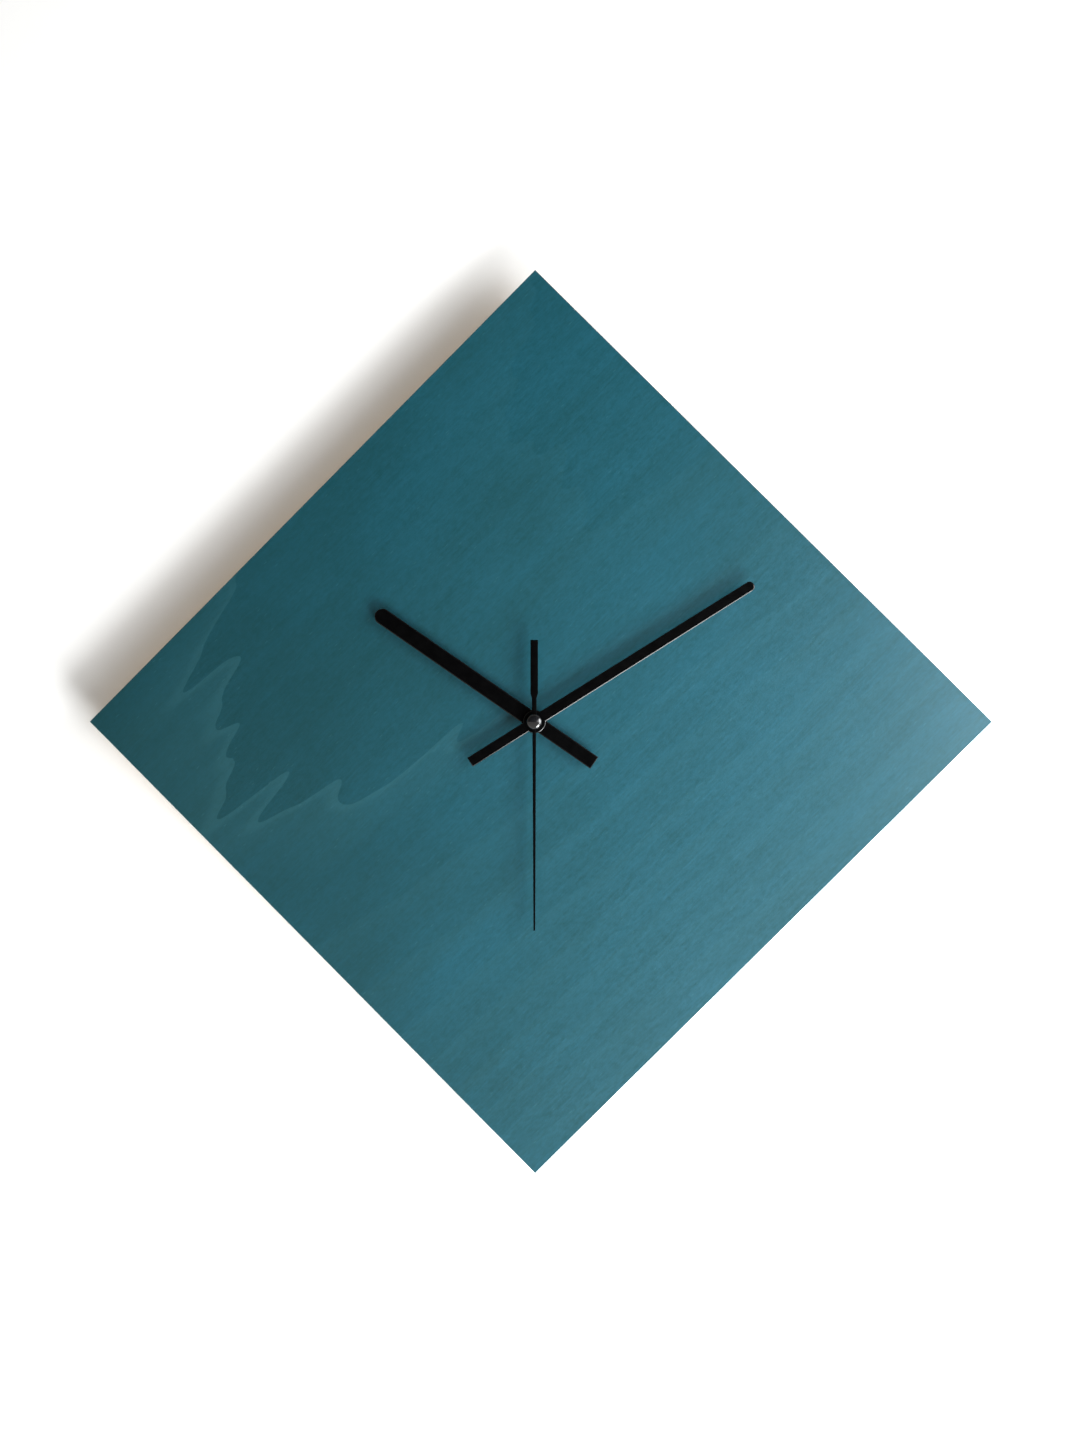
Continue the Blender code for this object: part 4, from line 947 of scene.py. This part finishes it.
# %% The threaded bushing
bushing_rear, bushing_end, flange_radius = ring_sizes("threaded_bushing")
thread_top = 3.5 * mm
thread_pitch = 0.5 * mm
thread_depth = 0.22 * mm
bushing_bore = 2.8 * mm
flange = 1.0 * mm
flange_ease = 0.1 * mm
length = bushing_rear - bushing_end
profile = [(bushing_bore, 0.0), (flange_radius - flange_ease, 0.0), (flange_radius, flange_ease),
           (flange_radius, flange - flange_ease), (flange_radius - flange_ease, flange),
           (thread_top, flange)]
turns = int((length - flange - 0.5 * mm) / thread_pitch)
for step in range(turns):
    start = flange + 0.2 * mm + step * thread_pitch
    profile += [(thread_top, start), (thread_top - thread_depth, start + thread_pitch / 2)]
profile += [(thread_top, length - 0.25 * mm), (thread_top - 0.2 * mm, length),
            (bushing_bore, length)]
finished("brass_bushing", turned(profile, (0.0, bushing_rear, 0.0), (0, -1, 0), 48),
         ["brass"], "threaded_bushing", sharp=35)
print(turns, "turns of thread")

# %% [markdown]
# ## The hands
# The hands are stamped from thin aluminium and sprayed black. The press rolls their edges, so each
# bar has a flat middle and a sloping shoulder on both sides. The flats stay dead black, and the
# shoulders are rubbed a little shinier. On the minute hand the shoulder that faces the window shows
# as one bright line, so it is modelled and not left to the shader.

# %% The bar hands
shoulder_run = 0.4 * mm
shoulder_drop = 0.22 * mm


def mirrored(right):
    """The same points on the left, run back the other way."""
    return [Vector((-p.x, p.y)) for p in reversed(right)]


def hub_arc(disc, below, above, steps):
    """Right half of the disc round the arbor, between a lower bar and an upper one."""
    return arc(axis, disc, math.asin(below / disc) - math.pi / 2,
               math.pi / 2 - math.asin(above / disc), steps)


def bar_outline(reach, tail, width, tip_width, tail_width, disc):
    """A bar that points to twelve, with a round tip, a disc round its arbor and a square tail."""
    half, tip, back = width / 2, tip_width / 2, tail_width / 2
    right = [Vector((back, -tail))] + hub_arc(disc, back, half, 14)
    top = arc(Vector((0.0, reach - tip)), tip, 0.0, math.pi, 18)
    return right + top + mirrored(right)


def shouldered(rear, front, run, drop):
    """Levels for a stamped edge: a short wall, a slope, and a small roll onto the flat."""
    return [(0.04 * mm, rear), (0.0, rear - 0.05 * mm), (0.0, front + drop + 0.03 * mm),
            (0.05 * mm, front + drop - 0.01 * mm), (run - 0.1 * mm, front + 0.035 * mm),
            (run, front)]


def hand_faces(face):
    """Number of the finish: dead black on the flats, rubbed black on the rest."""
    return 0 if abs(face.normal.y) > 0.97 else 1


def bar_hand(node, name, body, bore, **sizes):
    reach, angle = hand_reach(node)
    outline = turned_by(bar_outline(reach, **sizes), angle)
    levels = shouldered(*faces(node), shoulder_run, shoulder_drop)
    finished(name, plate(outline, levels, [circle(bore, 48)]),
             ["black_hand_paint", "rubbed_black_paint"], node, body, sharp=50, choose=hand_faces)


bar_hand("hour_hand", "hour_bar", "hours", bore=2.6 * mm, tail=33.8 * mm, width=7.5 * mm,
         tip_width=7.5 * mm, tail_width=6.6 * mm, disc=5.0 * mm)
bar_hand("minute_hand", "minute_bar", "minutes", bore=1.6 * mm, tail=35.6 * mm, width=5.3 * mm,
         tip_width=4.7 * mm, tail_width=4.9 * mm, disc=5.3 * mm)

# %% [markdown]
# ### The second hand
# It is a needle with a wider counterweight, too slim for a shoulder, so a plain bevel breaks its
# edges, and all of it is dead black.

# %% The needle
needle_tail = 38 * mm
needle_disc = 2.4 * mm
needle_hub, needle_tip = 0.85 * mm, 0.4 * mm
weight_half, weight_top = 1.75 * mm, 13 * mm
neck_half, neck_foot = 1.05 * mm, 11 * mm

needle_reach, needle_angle = hand_reach("second_hand")
needle_rear, needle_front = faces("second_hand")
needle_right = [Vector((weight_half, -needle_tail)), Vector((weight_half, -weight_top)),
                Vector((neck_half, -neck_foot)), *hub_arc(needle_disc, neck_half, needle_hub, 12),
                Vector((needle_tip, needle_reach))]
needle_levels = [(0.03 * mm, needle_rear), (0.0, needle_rear - 0.04 * mm),
                 (0.0, needle_front + 0.14 * mm), (0.13 * mm, needle_front)]
needle_outline = turned_by(needle_right + mirrored(needle_right), needle_angle)
finished("second_needle", plate(needle_outline, needle_levels, [circle(1.2 * mm, 32)]),
         ["black_hand_paint"], "second_hand", "seconds", sharp=50)

# %% [markdown]
# ## The cap
# The hub of the second hand is closed by a small pressed cap in gloss black. It is a shallow dome
# that turns down into a short wall, and the turn is a smooth curve: a sharp edge would break the
# reflection that runs round it.

# %% Spinning the cap
cap_rear, cap_front = faces("second_hand_cap")
cap_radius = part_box("second_hand_cap")[1].x
cap_wall = 0.35 * mm
cap_rim = 0.06 * mm
socket_radius, socket_depth = 1.2 * mm, 1.1 * mm


def dome_profile(radius, height, wall, steps=18):
    """A flattened dome over a short wall, from its rim to its top."""
    points = [(radius, wall * share / 3) for share in range(4)]
    for step in range(1, steps + 1):
        angle = math.pi / 2 * step / steps
        across = radius * math.cos(angle) ** 0.8
        points.append((across, wall + (height - wall) * math.sin(angle)))
    points[-1] = (0.0, height)
    return points


cap_profile = [(0.0, socket_depth), (socket_radius, socket_depth), (socket_radius, 0.0),
               (cap_radius - cap_rim, 0.0)]
cap_profile += dome_profile(cap_radius, cap_rear - cap_front, cap_wall)
finished("hub_cap", turned(cap_profile, (0.0, cap_rear, 0.0), (0, -1, 0)), ["black_gloss_paint"],
         "second_hand_cap", "seconds", sharp=60)

# %% [markdown]
# ## The stage
# The clock hangs on a plain white wall above a pale floor. The wall is seen only from the room:
# from behind it is clear, and it casts no shadow and bounces no light, so the back of the clock can
# be looked at as well.

# %% Wall and floor
wall_gap = 0.3 * mm
floor_drop = 1.1
room = 60.0


def pale_surface(name, colour, roughness):
    tree, shader = new_finish(name, roughness, colour)
    dress(shader, relief=grain_noise(tree, 260.0, detail=4.0), depth=0.05 * mm, strength=0.25)
    return tree, shader


def clear_from_behind(tree, shader):
    """Let light and sight through the back of a surface."""
    clear = add(tree, "ShaderNodeBsdfTransparent")
    behind = add(tree, "ShaderNodeNewGeometry").outputs["Backfacing"]
    choice = add(tree, "ShaderNodeMixShader", [(0, behind), (1, shader.outputs[0]),
                                               (2, clear.outputs[0])])
    tree.links.new(choice.outputs[0], tree.nodes["Material Output"].inputs["Surface"])


def stage_sheet(name, finish_name, corners):
    mesh = bpy.data.meshes.new(name)
    mesh.from_pydata(corners, [], [(0, 1, 2, 3)])
    mesh.materials.append(finishes[finish_name])
    sheet = placed(name, mesh)
    return sheet


clear_from_behind(*pale_surface("white_wall", (0.96, 0.958, 0.95), 0.9))
pale_surface("pale_floor", (0.9, 0.89, 0.87), 0.8)
back_wall = stage_sheet("back_wall", "white_wall",
                        [(-room, wall_gap, -floor_drop), (room, wall_gap, -floor_drop),
                         (room, wall_gap, room), (-room, wall_gap, room)])
for sight in ("visible_shadow", "visible_diffuse", "visible_glossy"):
    setattr(back_wall, sight, False)
stage_sheet("floor", "pale_floor", [(-room, -room, -floor_drop), (room, -room, -floor_drop),
                                    (room, room, -floor_drop), (-room, room, -floor_drop)])
print("the wall stands", wall_gap / mm, "mm behind the clock and the floor", floor_drop, "m below")

# %% [markdown]
# ## Light
# Two soft lights work like windows. One stands to the right at the clock's own height, close enough
# that the board grows brighter towards it. The other comes from low on the right, and throws the
# soft shadows that rise to the upper left of every hand. A third lamp behind the wall, hidden from
# the room, lets the back be seen.


# %% Lamps
def soft_light(name, place, size, power, colour=(1.0, 1.0, 1.0)):
    """A round soft lamp that faces the clock and isn't seen itself."""
    lamp = bpy.data.lights.new(name, "AREA")
    lamp.shape = "DISK"
    lamp.size = size
    lamp.energy = power
    lamp.color = colour
    holder = placed(name, lamp)
    holder.location = place
    holder.rotation_euler = (-Vector(place)).to_track_quat("-Z", "Y").to_euler()
    holder.visible_camera = False
    print(name, "stands", round(Vector(place).length, 2), "m away")


daylight = (0.97, 0.99, 1.0)
soft_light("side_window", (0.49, -0.31, 0.03), size=0.52, power=5.3, colour=daylight)
soft_light("low_window", (0.45, -0.5, -0.56), size=0.46, power=14.6, colour=daylight)
soft_light("rear_fill", (-0.9, 1.4, 1.3), size=1.2, power=28.0)

# %% [markdown]
# ### The sky
# A lacquered board mirrors whatever stands in front of it, so the sky is dim there, or the stain
# would look milky. It is warm at the sides, bright low on the right like a window, and pale behind
# the wall, where it lights the back. Seen directly it is a plain pale backdrop.


# %% The room's sky
def room_sky(front, sides, rear, window, backdrop):
    """Sky colours by direction: y runs from -1 in front of the clock to 1 behind it."""
    sky = bpy.data.worlds.new("sky")
    sky.use_nodes = True
    tree = sky.node_tree
    where = add(tree, "ShaderNodeTexCoord").outputs["Generated"]
    depth = add(tree, "ShaderNodeSeparateXYZ", [(0, where)]).outputs["Y"]
    to_window = add(tree, "ShaderNodeVectorMath", [(0, where)], operation="DOT_PRODUCT")
    to_window.inputs[1].default_value = Vector((0.72, -0.56, -0.42)).normalized()
    lit = fit(to_window.outputs["Value"], 0.62, 0.84, soft=True)
    colour = blend_colour(fit(depth, -0.75, -0.1, soft=True), front, sides)
    colour = blend_colour(fit(depth, 0.0, 0.15, soft=True), colour, rear)
    colour = blend_colour(lit, colour, window)
    seen = add(tree, "ShaderNodeLightPath").outputs["Is Camera Ray"]
    colour = blend_colour(seen, colour, backdrop)
    tree.links.new(colour, tree.nodes["Background"].inputs["Color"])
    bpy.context.scene.world = sky
    print("the sky mixes", len(tree.nodes), "nodes")


room_sky(front=(0.02, 0.02, 0.02), sides=(0.3, 0.275, 0.235), rear=(0.76, 0.74, 0.7),
         window=(3.3, 3.3, 3.4), backdrop=(0.84, 0.84, 0.83))
bpy.context.scene.view_settings.view_transform = "Standard"

# %% [markdown]
# ## The camera
# The clock is seen square on from a little under a metre, just to the right of its middle, so the
# nearer right half looks a touch wider than the left.

# %% Placing the camera
eye_distance = 0.8
eye_side = 0.0393
eye_height = 0.0008
look_left = 0.0475
lens_in_mm = 41.5325

camera_data = bpy.data.cameras.new("camera")
camera_data.sensor_width = 36.0
camera_data.lens = lens_in_mm
camera = placed("camera", camera_data)
camera.location = (eye_side, -eye_distance, eye_height)
camera.rotation_euler = (math.pi / 2, 0.0, look_left)
bpy.context.scene.camera = camera
print("lens", round(camera_data.lens, 1), "mm at", eye_distance, "m")
